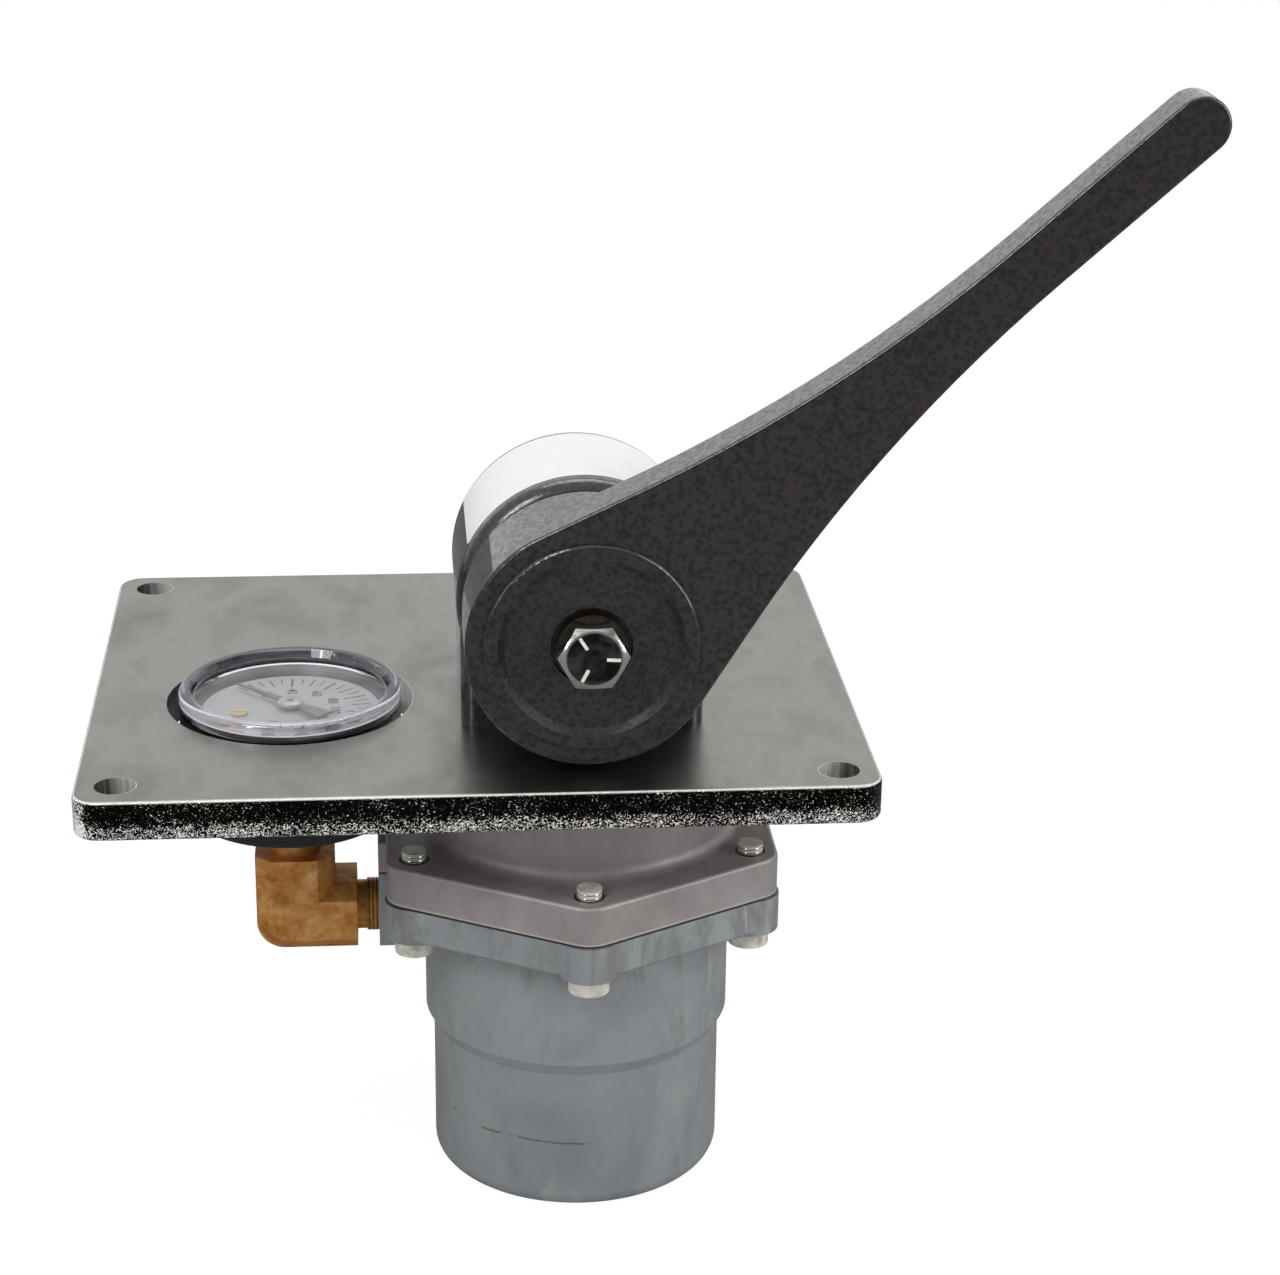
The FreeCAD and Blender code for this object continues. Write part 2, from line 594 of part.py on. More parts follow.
# Lower body: flange with six spot-faced corners, stepped barrel, bores, web and ports
def lower_body():
    s = hexagon(VALVE, HEX_AF, BODY_FLANGE_BOTTOM, BODY_TOP, FLANGE_TURN, HEX_CORNER_R)
    s = s.makeChamfer(0.9, [e for e in s.Edges if level(e, BODY_FLANGE_BOTTOM)])
    for p in FLANGE_SPOTS:
        s = s.fuse(cyl_z(p, SPOT_R, BODY_FLANGE_BOTTOM - SPOT_PROUD, BODY_TOP))
    profile = [V(0, 0, BODY_TOP), V(BOSS_R, 0, BODY_TOP), V(BOSS_R, 0, STEP_TOP), V(SKIRT_R, 0, STEP_BOTTOM),
               V(SKIRT_R, 0, BODY_BOTTOM), V(0, 0, BODY_BOTTOM)]
    barrel = Part.Face(Part.makePolygon(profile + [profile[0]])).revolve(V(0, 0, 0), UP, 360)
    barrel.translate(VALVE)
    barrel = barrel.makeFillet(BODY_EDGE_R, [e for e in barrel.Edges if level(e, BODY_BOTTOM)])
    s = s.fuse(barrel)
    pad = port_pad(PAD_BOTTOM, BODY_TOP, VALVE_X - 30)
    s = s.fuse(pad)
    for z in (DELIVERY_Z, SUPPLY_Z):
        s = s.fuse(cyl_y(VALVE_X, z, PORT_BOSS_R, VALVE_Y + 15, VALVE_Y + BOSS_R + PORT_PROUD))
    s = s.cut(cyl_z(VALVE, PISTON_BORE_R, WEB_TOP, BODY_TOP))
    chamber = cyl_z(VALVE, SUPPLY_R, BODY_BOTTOM, WEB_BOTTOM)
    for z in (DELIVERY_Z, SUPPLY_Z):
        chamber = chamber.cut(cyl_y(VALVE_X, z, PORT_BOSS_R - 1.5, VALVE_Y + 18, VALVE_Y + BOSS_R))
    s = s.cut(chamber)
    s = s.cut(cyl_z(VALVE, SEAT_R, WEB_BOTTOM - 2, WEB_TOP))
    face = VALVE_Y + BOSS_R + PORT_PROUD
    for z in (DELIVERY_Z, SUPPLY_Z):
        s = s.cut(cyl_y(VALVE_X, z, INSERT_R, face - PORT_L, face))
    s = s.cut(cyl_y(VALVE_X, SUPPLY_Z, PASSAGE_R, VALVE_Y + 10, face - PORT_L))
    s = s.cut(cyl_y(VALVE_X, DELIVERY_Z, PASSAGE_R, VALVE_Y + 20.5, face - PORT_L))
    s = s.cut(cyl_z(V(VALVE_X, VALVE_Y + 21.5, 0), 3.0, DELIVERY_Z, WEB_TOP))
    s = s.cut(cyl_x(VALVE_Y, GAUGE_PORT_Z, NIPPLE_R, PAD_X, PAD_X + 11.0))
    s = s.cut(cyl_x(VALVE_Y, GAUGE_PORT_Z, 2.5, PAD_X, VALVE_X - 20))
    s = s.cut(cyl_z(VALVE, SUPPLY_R + SNAP_DEPTH, CAP_TOP - CAP_T - SNAP_T, CAP_TOP - CAP_T))
    s = s.cut(cyl_z(VALVE, PISTON_BORE_R + 1.0, PISTON_TOP + 0.3, PISTON_TOP + 1.3))
    for p in FLANGE_SPOTS:
        s = s.cut(cyl_z(p, SCREW_R + 0.3, BODY_FLANGE_BOTTOM - 1, BODY_TOP))
    return s.removeSplitter()


# Tapped steel inserts of the two pipe ports
def port_inserts():
    face = VALVE_Y + BOSS_R + PORT_PROUD
    group = []
    for z in (DELIVERY_Z, SUPPLY_Z):
        sleeve = cyl_y(VALVE_X, z, INSERT_R, face - PORT_L, face)
        group.append(sleeve.cut(cyl_y(VALVE_X, z, PORT_R, face - PORT_L, face)))
    return Part.Compound(group)


def flange_screws():
    group = []
    under = BODY_FLANGE_BOTTOM - SPOT_PROUD
    for p in FLANGE_SPOTS:
        head = cyl_z(p, SCREW_HEAD_R, under - SCREW_HEAD_H, under)
        shank = cyl_z(p, SCREW_R, under, COVER_FLANGE_TOP + SCREW_TIP_H)
        group.append(head.fuse(shank).removeSplitter())
    return Part.Compound(group)


# Piston with its hollow exhaust stem, its ring and its stop
def piston():
    low = PISTON_TOP - PISTON_T
    groove = PISTON_TOP - PISTON_T / 2
    s = cyl_z(VALVE, PISTON_BORE_R - PISTON_CLEAR, low, PISTON_TOP)
    pilot = MAIN_SPRING_R - MAIN_WIRE_R - 0.4
    s = s.fuse(cyl_z(VALVE, pilot, PISTON_TOP, PISTON_TOP + 3.0))
    s = s.fuse(cyl_z(VALVE, STEM_R, WEB_BOTTOM - SEAT_LIP + EXHAUST_GAP, low))
    s = s.cut(cyl_z(VALVE, STEM_BORE_R, WEB_BOTTOM - SEAT_LIP, PISTON_TOP + 3.0))
    band = ring_z(VALVE, PISTON_BORE_R - 2.1, PISTON_BORE_R + 1, groove - 1.3, groove + 1.3)
    return s.cut(band).removeSplitter()


def piston_ring():
    groove = PISTON_TOP - PISTON_T / 2
    s = ring_z(VALVE, PISTON_BORE_R - 2.0, PISTON_BORE_R - 0.03, groove - 1.0, groove + 1.0)
    return s.makeChamfer(0.4, [e for e in s.Edges if not e.Length < 5 * PISTON_BORE_R and e.BoundBox.ZLength < 1e-4])


def piston_stop():
    return ring_z(VALVE, PISTON_BORE_R - 2.5, PISTON_BORE_R + 1.0, PISTON_TOP + 0.3, PISTON_TOP + 1.3)


def valve_seat():
    s = ring_z(VALVE, SEAT_BORE_R, SEAT_R, WEB_BOTTOM, WEB_TOP)
    return s.fuse(ring_z(VALVE, SEAT_BORE_R, SEAT_BORE_R + 1.5, WEB_BOTTOM - SEAT_LIP, WEB_BOTTOM)).removeSplitter()


def poppet():
    top = WEB_BOTTOM - SEAT_LIP
    s = cyl_z(VALVE, POPPET_R, top - POPPET_T, top)
    s = s.makeChamfer(0.8, [e for e in s.Edges if level(e, top - POPPET_T)])
    return s.fuse(cyl_z(VALVE, POPPET_STEM_R, POST_TOP - 10.0, top - POPPET_T)).removeSplitter()


def poppet_spring():
    return spring_sleeve(VALVE, VALVE_SPRING_R, VALVE_WIRE_R, POST_TOP, WEB_BOTTOM - SEAT_LIP - POPPET_T)


def bottom_cap():
    s = cyl_z(VALVE, SUPPLY_R, CAP_TOP - CAP_T, CAP_TOP)
    s = s.fuse(Part.makeCone(POST_R + 4, POST_R, 5.0, V(VALVE_X, VALVE_Y, CAP_TOP), UP))
    s = s.fuse(cyl_z(VALVE, POST_R, CAP_TOP, POST_TOP))
    s = s.cut(cyl_z(VALVE, POPPET_STEM_R + 0.05, POST_TOP - 13.0, POST_TOP))
    return s.cut(cyl_z(VALVE, 8.0, CAP_TOP - CAP_T, CAP_TOP - CAP_T + 3)).removeSplitter()


def cap_ring():
    s = ring_z(VALVE, SUPPLY_R + SNAP_DEPTH - SNAP_W, SUPPLY_R + SNAP_DEPTH, CAP_TOP - CAP_T - SNAP_T, CAP_TOP - CAP_T)
    gap = box(VALVE_X - 4, VALVE_X + 4, VALVE_Y - 40, VALVE_Y, CAP_TOP - CAP_T - SNAP_T, CAP_TOP - CAP_T)
    return s.cut(gap)


# Brass street elbow: eight-sided arms, a tapped top and a male nipple
def elbow_outline(side, rise, corner, y):
    left = GAUGE_X - side
    right = GAUGE_X + side
    low = GAUGE_PORT_Z - rise
    high = GAUGE_PORT_Z + rise
    cut = corner * (1 - math.sqrt(0.5))
    spots = [V(left, y, ELBOW_TOP), V(left, y, low + corner), V(left + corner, y, low), V(ELBOW_END_X, y, low),
             V(ELBOW_END_X, y, high), V(right, y, high), V(right, y, ELBOW_TOP)]
    edges = [Part.makeLine(spots[0], spots[1]),
             Part.Arc(spots[1], V(left + cut, y, low + cut), spots[2]).toShape()]
    for a, b in zip(spots[2:], spots[3:] + spots[:1]):
        edges.append(Part.makeLine(a, b))
    return Part.Wire(edges)


def street_elbow():
    front = GAUGE_Y - ELBOW_FLAT
    back = GAUGE_Y + ELBOW_FLAT
    s = Part.Face(elbow_outline(ELBOW_SIDE, ELBOW_RISE, ELBOW_CORNER_R, front)).extrude(V(0, back - front, 0))
    for near, far in ((front, GAUGE_Y - ELBOW_SIDE), (back, GAUGE_Y + ELBOW_SIDE)):
        wide = elbow_outline(ELBOW_SIDE, ELBOW_RISE, ELBOW_CORNER_R, near)
        slim = elbow_outline(ELBOW_FLAT, ELBOW_FLAT_RISE, ELBOW_FLAT_R, far)
        s = s.fuse(Part.makeLoft([wide, slim], True, True))
    s = s.removeSplitter()
    s = s.fuse(cyl_x(GAUGE_Y, GAUGE_PORT_Z, NIPPLE_SHANK_R, ELBOW_END_X, ELBOW_END_X + 2.4))
    s = s.fuse(cyl_x(GAUGE_Y, GAUGE_PORT_Z, NIPPLE_R, ELBOW_END_X + 2.4, PAD_X + 9.5))
    s = s.cut(cyl_z(GAUGE, ELBOW_BORE_R, GAUGE_PORT_Z, ELBOW_TOP))
    s = s.cut(cyl_x(GAUGE_Y, GAUGE_PORT_Z, ELBOW_BORE_R, GAUGE_X, PAD_X + 9.5))
    return s.cut(cyl_z(GAUGE, SPIGOT_R, ELBOW_TOP - SPIGOT_L, ELBOW_TOP)).removeSplitter()


# Pressure gauge
def gauge_stem():
    h = STEM_AF / 2
    s = box(GAUGE_X - h, GAUGE_X + h, GAUGE_Y - h, GAUGE_Y + h, STEM_FLAT_BOTTOM, CASE_BACK)
    s = round_edges(s, 1.2, upright)
    s = s.fuse(cyl_z(GAUGE, SPIGOT_R, ELBOW_TOP - SPIGOT_L + 1.0, STEM_FLAT_BOTTOM))
    s = s.fuse(cyl_z(GAUGE, STEM_NECK_R, CASE_BACK, CASE_BACK + CASE_WALL + 1.0))
    block = box(GAUGE_X - STEM_BLOCK, GAUGE_X + STEM_BLOCK, GAUGE_Y - 3 * STEM_BLOCK, GAUGE_Y + STEM_BLOCK,
                CASE_BACK + CASE_WALL + 1, -4)
    s = s.fuse(block)
    return s.cut(cyl_z(GAUGE, 1.5, ELBOW_TOP - SPIGOT_L, -8)).removeSplitter()


def gauge_case():
    s = cyl_z(GAUGE, CASE_R, CASE_BACK, CASE_TOP)
    s = s.makeFillet(CASE_EDGE_R, [e for e in s.Edges if level(e, CASE_BACK)])
    s = s.cut(cyl_z(GAUGE, CASE_R - CASE_WALL, LEDGE_Z, CASE_TOP))
    s = s.cut(cyl_z(GAUGE, CASE_R - CASE_WALL - LEDGE_W, CASE_BACK + CASE_WALL + 1, LEDGE_Z))
    return s.cut(cyl_z(GAUGE, STEM_NECK_R, CASE_BACK, LEDGE_Z))


def gauge_dial():
    s = cyl_z(GAUGE, CASE_R - CASE_WALL - 0.1, LEDGE_Z, LEDGE_Z + DIAL_T)
    s = s.cut(cyl_z(GAUGE, 1.4, LEDGE_Z, LEDGE_Z + DIAL_T))
    for p in DIAL_SPOTS:
        s = s.cut(cyl_z(p, 0.9, LEDGE_Z, LEDGE_Z + DIAL_T))
    return s


DIAL_SPOTS = around(GAUGE, 12.8, [195.6]) + around(GAUGE, 15.6, [225.0])


DIAL_HEAD_R = 2.1


def dial_screws():
    group = []
    top = LEDGE_Z + DIAL_T
    for p in DIAL_SPOTS:
        head = cyl_z(p, DIAL_HEAD_R, top, top + 0.7)
        head = head.fuse(cyl_z(p, 0.9, 1.5, top)).removeSplitter()
        group.append(head.cut(box(p.x - 3, p.x + 3, p.y - 0.25, p.y + 0.25, top + 0.4, top + 0.7)))
    return Part.Compound(group)


FRAME_R = 18.0


def movement_frame():
    s = cyl_z(GAUGE, FRAME_R, 1.5, 3.0)
    s = s.common(box(GAUGE_X - FRAME_R, GAUGE_X + 7, GAUGE_Y - 13, GAUGE_Y + 9, 1.5, 3.0))
    s = s.fuse(box(GAUGE_X - 4, GAUGE_X + 4, GAUGE_Y - 8, GAUGE_Y + 2, -4, 1.5))
    s = s.cut(cyl_z(GAUGE, 0.9, -4, 3.0))
    for p in DIAL_SPOTS:
        s = s.cut(cyl_z(p, 0.9, 1.5, 3.0))
    return s.removeSplitter()


def bourdon_tube():
    oval = Part.Ellipse(V(0, 0, 0), 3.4, 1.4)
    edge = oval.toShape()
    edge.rotate(V(0, 0, 0), V(0, 1, 0), 90)
    edge.rotate(V(0, 0, 0), V(0, 0, 1), 90)
    edge.translate(V(TUBE_R, 0, 0))
    face = Part.Face(Part.Wire(edge))
    s = face.revolve(V(0, 0, 0), UP, 250)
    s.rotate(V(0, 0, 0), UP, -75)
    s.translate(V(GAUGE_X, GAUGE_Y, -9.0))
    return s


def pointer():
    h = 0.5
    z = LEDGE_Z + DIAL_T + 1.2
    outline = [V(POINTER_L, -0.25, 0), V(POINTER_L, 0.25, 0), V(2.6, 1.0, 0), V(-4, 0.9, 0), V(-7, 2.0, 0),
               V(-POINTER_TAIL, 2.3, 0), V(-POINTER_TAIL, -2.3, 0), V(-7, -2.0, 0), V(-4, -0.9, 0), V(2.6, -1.0, 0)]
    s = prism(outline, V(0, 0, h))
    s = s.fuse(cyl_z(V(0, 0, 0), 2.9, -0.6, h))
    s = s.fuse(cyl_z(V(0, 0, 0), 1.2, h, h + 0.4))
    s = s.cut(cyl_z(V(0, 0, 0), 0.8, -0.6, h))
    s.rotate(V(0, 0, 0), UP, POINTER_ANGLE)
    s.translate(V(GAUGE_X, GAUGE_Y, z))
    return s.removeSplitter()


def pointer_spindle():
    return cyl_z(GAUGE, 0.8, -3.0, LEDGE_Z + DIAL_T + 1.7)


def gauge_lens():
    s = cyl_z(GAUGE, LENS_R, LENS_BOTTOM, LENS_TOP)
    s = s.makeFillet(1.1, [e for e in s.Edges if level(e, LENS_TOP)])
    bowl = Part.makeCone(LENS_RIM_IN_R - 1.0, LENS_RIM_IN_R, LENS_TOP - WINDOW_Z - WINDOW_T,
                         V(GAUGE_X, GAUGE_Y, WINDOW_Z + WINDOW_T), UP)
    s = s.cut(bowl)
    s = s.cut(cyl_z(GAUGE, CASE_R - CASE_WALL, CASE_TOP, WINDOW_Z))
    return s.cut(cyl_z(GAUGE, CASE_R, LENS_BOTTOM, CASE_TOP)).removeSplitter()


NODES = {
    "panel_plate": panel_plate,
    "camshaft_housing": camshaft_housing,
    "clamp_screws": clamp_screws,
    "front_bushing": front_bushing,
    "rear_bushing": rear_bushing,
    "shaft_seal": shaft_seal,
    "thrust_washers": thrust_washers,
    "friction_washer": friction_washer,
    "camshaft": camshaft,
    "shaft_keys": shaft_keys,
    "cam_disc": cam_disc,
    "lever": lever,
    "flat_washer": flat_washer,
    "lock_washer": lock_washer,
    "clamp_bolt": clamp_bolt,
    "plunger": plunger,
    "cam_roller": cam_roller,
    "roller_pin": roller_pin,
    "graduating_spring": graduating_spring,
    "upper_cover": upper_cover,
    "flange_gasket": flange_gasket,
    "lower_body": lower_body,
    "port_inserts": port_inserts,
    "flange_screws": flange_screws,
    "piston": piston,
    "piston_ring": piston_ring,
    "piston_stop": piston_stop,
    "valve_seat": valve_seat,
    "poppet": poppet,
    "poppet_spring": poppet_spring,
    "bottom_cap": bottom_cap,
    "cap_ring": cap_ring,
    "street_elbow": street_elbow,
    "gauge_stem": gauge_stem,
    "gauge_case": gauge_case,
    "gauge_dial": gauge_dial,
    "dial_screws": dial_screws,
    "movement_frame": movement_frame,
    "bourdon_tube": bourdon_tube,
    "pointer": pointer,
    "pointer_spindle": pointer_spindle,
    "gauge_lens": gauge_lens,
}

os.makedirs("parts", exist_ok=True)
for name, make in NODES.items():
    shape = make()
    shape.exportStep(os.path.join("parts", name + ".step"))
    print(name, "solids", len(shape.Solids), "valid", shape.isValid(), "volume", round(shape.Volume, 1))
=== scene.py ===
import math

import bmesh
import bpy
from mathutils import Matrix, Vector


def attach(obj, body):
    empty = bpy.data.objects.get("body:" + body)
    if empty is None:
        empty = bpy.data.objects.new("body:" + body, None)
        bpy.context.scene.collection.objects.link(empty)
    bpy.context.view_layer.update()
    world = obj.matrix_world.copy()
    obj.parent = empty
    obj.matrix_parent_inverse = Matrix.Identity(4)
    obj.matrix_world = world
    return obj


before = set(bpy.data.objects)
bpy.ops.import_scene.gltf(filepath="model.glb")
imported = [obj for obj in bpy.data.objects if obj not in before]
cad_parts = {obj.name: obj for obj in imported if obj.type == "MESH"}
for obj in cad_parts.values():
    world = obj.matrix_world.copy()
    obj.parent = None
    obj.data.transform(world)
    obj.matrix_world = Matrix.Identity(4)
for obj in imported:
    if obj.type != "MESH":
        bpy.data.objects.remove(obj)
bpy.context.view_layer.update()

MM = 0.001

# Places taken from the valve, in metres
VALVE = Vector((0.0254, -0.015, 0))
GAUGE = Vector((-0.0445, -0.015, 0))
SHAFT_Z = 0.0405
FLOOR_Z = -0.114
PLATE_TOP = 9.525 * MM
DIAL_TOP = 7.0 * MM
BOLT_FRONT = -73.3 * MM
GAUGE_PORT_Z = -0.046
HOUSING_R = 29.9 * MM
FLANGE_TOP = -23.3 * MM
SCREW_CIRCLE = 47.0 * MM
SCREW_UNDER = -43.0 * MM
STEM_FOOT = -29.6 * MM
STEM_SPIGOT_R = 6.4 * MM
STEM_THREAD_L = 3.8 * MM
NIPPLE_X = -26.9 * MM
NIPPLE_R = 6.62 * MM
NIPPLE_THREAD_L = 2.85 * MM
PIPE_PITCH = 0.94 * MM
PIPE_DEPTH = 0.5 * MM
SCREW_TIP_R = 3.04 * MM
SCREW_TIP_L = 2.0 * MM
POINTER_TOP = 8.2 * MM
PLATE_HALF = Vector((92.075, 76.2, 0)) * MM
PLATE_CORNER_R = 6.35 * MM
LENS_RIM_R = 23.0 * MM
COVER_FOOT = FLANGE_TOP - 9.6 * MM
BOLT_FACE_R = 6.45 * MM
UP = Vector((0, 0, 1))
HOLE_AT = Vector((82.55, 66.675, 0)) * MM
HOLE_R = 4.7625 * MM
GAUGE_HOLE_R = 29.7 * MM
SCRATCH_Z = -95.5 * MM
SCALE_START = 157.5
SCALE_SWEEP = 270.0
SCALE_END = 160


# Camera, where the photograph was taken from
def set_camera():
    data = bpy.data.cameras.new("camera")
    data.sensor_width = 36.0
    data.lens = 84.556
    camera = bpy.data.objects.new("camera", data)
    bpy.context.scene.collection.objects.link(camera)
    right = Vector((0.9965, -0.0830, 0.0113))
    back = Vector((-0.0816, -0.9331, 0.3504)).normalized()
    right = (right - back * right.dot(back)).normalized()
    up = back.cross(right)
    turn = Matrix((right, up, back)).transposed().to_4x4()
    camera.matrix_world = Matrix.Translation((-0.01914, -0.69889, 0.280465)) @ turn
    bpy.context.scene.camera = camera
    bpy.context.scene.view_settings.view_transform = "Standard"


# Shader values that add up as Python numbers do
class Value:
    def __init__(self, finish, socket):
        self.finish = finish
        self.socket = socket

    def _sum(self, kind, first, second=None):
        inputs = {0: first}
        if second is not None:
            inputs[1] = second
        return self.finish.node("ShaderNodeMath", {"operation": kind}, inputs)

    def __add__(self, other):
        return self._sum("ADD", self, other)

    __radd__ = __add__

    def __sub__(self, other):
        return self._sum("SUBTRACT", self, other)

    def __rsub__(self, other):
        return self._sum("SUBTRACT", other, self)

    def __mul__(self, other):
        return self._sum("MULTIPLY", self, other)

    __rmul__ = __mul__

    def __truediv__(self, other):
        return self._sum("DIVIDE", self, other)

    def __pow__(self, other):
        return self._sum("POWER", self, other)

    def __abs__(self):
        return self._sum("ABSOLUTE", self)

    def above(self, low, high):
        ramp = {"interpolation_type": "SMOOTHSTEP"}
        return self.finish.node("ShaderNodeMapRange", ramp, {0: self, 1: low, 2: high})

    def most(self, other):
        return self._sum("MAXIMUM", self, other)


# One surface finish: a Principled shader and the nodes that feed it
class Finish:
    def __init__(self, name, **fixed):
        self.material = bpy.data.materials.new(name)
        self.material.use_nodes = True
        self.tree = self.material.node_tree
        self.shader = self.tree.nodes["Principled BSDF"]
        self.output = self.tree.nodes["Material Output"]
        for socket, value in fixed.items():
            self.feed(socket.replace("_", " "), value)

    def node(self, kind, settings=None, inputs=None, output=0):
        made = self.tree.nodes.new(kind)
        stops = (settings or {}).pop("stops", None)
        for key, value in (settings or {}).items():
            setattr(made, key, value)
        if stops:
            while len(made.color_ramp.elements) < len(stops):
                made.color_ramp.elements.new(0.5)
            for element, (place, colour) in zip(made.color_ramp.elements, stops):
                element.position = place
                element.color = tuple(colour) + (1.0,)
        for key, value in (inputs or {}).items():
            self.join(made.inputs[key], value)
        return Value(self, made.outputs[output])

    def join(self, socket, value):
        if isinstance(value, Value):
            self.tree.links.new(value.socket, socket)
        elif isinstance(value, (tuple, list)) and socket.type == "RGBA":
            socket.default_value = tuple(value) + (1.0,)
        else:
            socket.default_value = value

    def feed(self, socket, value):
        self.join(self.shader.inputs[socket], value)

    def place(self, stretch=(1, 1, 1), centre=(0, 0, 0)):
        where = self.node("ShaderNodeTexCoord", {}, {}, 3)
        moved = [-c * s for c, s in zip(centre, stretch)]
        return self.node("ShaderNodeMapping", {}, {0: where, 1: moved, 3: stretch})

    def axes(self, centre=(0, 0, 0)):
        parts = self.node("ShaderNodeSeparateXYZ", {}, {0: self.place(centre=centre)})
        return [Value(self, s) for s in parts.socket.node.outputs]

    def noise(self, per_metre, detail=2.0, rough=0.5, at=None, twist=0.0):
        inputs = {"Scale": per_metre, "Detail": detail, "Roughness": rough, "Distortion": twist}
        inputs["Vector"] = at or self.place()
        return self.node("ShaderNodeTexNoise", {}, inputs)

    def cells(self, per_metre, at=None, smooth=0.4):
        inputs = {"Scale": per_metre, "Smoothness": smooth, "Vector": at or self.place()}
        return self.node("ShaderNodeTexVoronoi", {"feature": "SMOOTH_F1"}, inputs)

    def ramp(self, value, *stops):
        return self.node("ShaderNodeValToRGB", {"stops": list(stops)}, {0: value})

    def blend(self, mask, one, other):
        return self.node("ShaderNodeMix", {"data_type": "RGBA"}, {0: mask, 6: one, 7: other}, 2)

    def bump(self, height, depth, strength=1.0, over=None):
        inputs = {"Height": height, "Distance": depth, "Strength": strength}
        if over is not None:
            inputs["Normal"] = over
        return self.node("ShaderNodeBump", {}, inputs)


# Finishes
def plated_plate():
    f = Finish("plated_plate")
    x, y, z = f.axes()
    inset = PLATE_HALF.x - PLATE_CORNER_R
    deep = PLATE_HALF.y - PLATE_CORNER_R
    qx = (abs(x) - inset).most(0.0)
    qy = (abs(y) - deep).most(0.0)
    out = (qx * qx + qy * qy) ** 0.5
    rim = out.above(5.65 * MM, 5.95 * MM)
    height = z / PLATE_TOP
    hx = abs(x) - HOLE_AT.x
    hy = abs(y) - HOLE_AT.y
    gx = x - GAUGE.x
    gy = y - GAUGE.y
    small = ((hx * hx + hy * hy) ** 0.5).above(HOLE_R + 0.20 * MM, HOLE_R + 0.05 * MM)
    large = ((gx * gx + gy * gy) ** 0.5).above(GAUGE_HOLE_R + 0.20 * MM, GAUGE_HOLE_R + 0.05 * MM)
    bore = small.most(large)
    patch = f.noise(32.0, 3.0, 0.55, f.place((1.0, 0.55, 1.0)), 0.5)
    cloud = f.noise(75.0, 4.0, 0.6, f.place((1.0, 0.5, 1.0)), 0.4)
    grain = f.noise(2600.0, 2.0, 0.6)
    pepper = f.noise(1300.0, 2.0, 0.6, f.place((1.0, 0.4, 1.0)))
    stain = f.noise(19.0, 3.0, 0.6, f.place((1.0, 0.5, 1.0), (0.11, 0.02, 0)), 0.8).above(0.60, 0.70)
    tone = patch * 0.62 + cloud * 0.38 + (pepper - 0.5) * 0.08
    face = f.ramp(tone, (0.34, (0.178, 0.174, 0.161)), (0.44, (0.238, 0.234, 0.217)),
                  (0.54, (0.285, 0.280, 0.260)), (0.66, (0.212, 0.205, 0.188)))
    face = f.blend(stain * 0.60, face, (0.178, 0.173, 0.158))
    # The plate's edge band (rim) is painted light: a near-black painted reflection with near-white painted
    # glints, a painted highlight along the top edge, and more glints low on the edge and at the left end.
    speck = f.noise(1250.0, 3.0, 0.7, f.place((0.8, 1.0, 1.0)), 2.2)
    fine = f.noise(2100.0, 2.0, 0.6)
    drift = f.noise(90.0, 2.0, 0.5)
    low = height.above(0.56, 0.22)
    painted_left_end_glints = qx.above(1.5 * MM, 5.5 * MM) * (x / inset).above(-0.9, -1.0)
    painted_glint_level = speck * 0.70 + fine * 0.30 + low * 0.080 + (drift - 0.5) * 0.10 + painted_left_end_glints * 0.12
    painted_glint_mask = painted_glint_level.above(0.590, 0.640).most(height.above(0.93, 0.975) * 0.8)
    painted_edge_light = f.blend(painted_glint_mask, (0.008, 0.007, 0.006), (0.90, 0.87, 0.82))
    colour = f.blend(rim, face, painted_edge_light)
    rib = f.noise(700.0, 2.0, 0.5, f.place((1.0, 1.0, 0.08)))
    # The hole walls are painted: lit_side lightens the side towards the lamps as a painted highlight, the
    # rest is dark painted shade, and rib adds ribbing.
    lit_side = small * (hx / HOLE_R).above(0.85, -0.75) + large * gx.above(0.020, 0.0295)
    ribs_and_painted_light = (lit_side * 0.75 + (rib - 0.45) * 0.9).above(0.0, 1.0)
    wall = f.blend(ribs_and_painted_light, (0.045, 0.044, 0.042), (0.70, 0.69, 0.66))
    f.feed("Base Color", f.blend(bore, colour, wall))
    f.feed("Metallic", 1.0 - 0.62 * bore - 0.70 * rim * painted_glint_mask)
    f.feed("Roughness", 0.22 + 0.12 * cloud + 0.06 * pepper - rim * 0.06)
    relief = grain * (1.0 - rim) * 0.05 + speck * rim
    f.feed("Normal", f.bump(relief, 0.30 * MM, 0.7))
    return f.material


def hammertone():
    f = Finish("hammertone", Metallic=0.0, Coat_Roughness=0.05, Coat_IOR=1.5, Specular_IOR_Level=0.35)
    warp = f.noise(300.0, 2.0, 0.5)
    cell = f.cells(760.0, f.place(), 0.7)
    fleck = f.noise(950.0, 2.0, 0.55, twist=0.7)
    tint = f.noise(420.0, 1.0, 0.5)
    wide = f.noise(22.0, 2.0, 0.5)
    pool = (cell * 0.75 + fleck * 0.75 + warp * 0.2).above(0.60, 0.98)
    dark = f.blend(wide, (0.0065, 0.0060, 0.0070), (0.0085, 0.0074, 0.0078))
    light = f.blend(tint.above(0.42, 0.60), (0.0175, 0.0168, 0.0195), (0.0225, 0.0165, 0.0150))
    f.feed("Base Color", f.blend(pool, dark, light))
    f.feed("Coat Weight", 0.65 + 0.35 * pool)
    f.feed("Roughness", 0.46 - 0.10 * pool)
    f.feed("Normal", f.bump(pool * 0.5 + fleck * 0.35 + warp * 0.4, 0.13 * MM, 0.50))
    return f.material


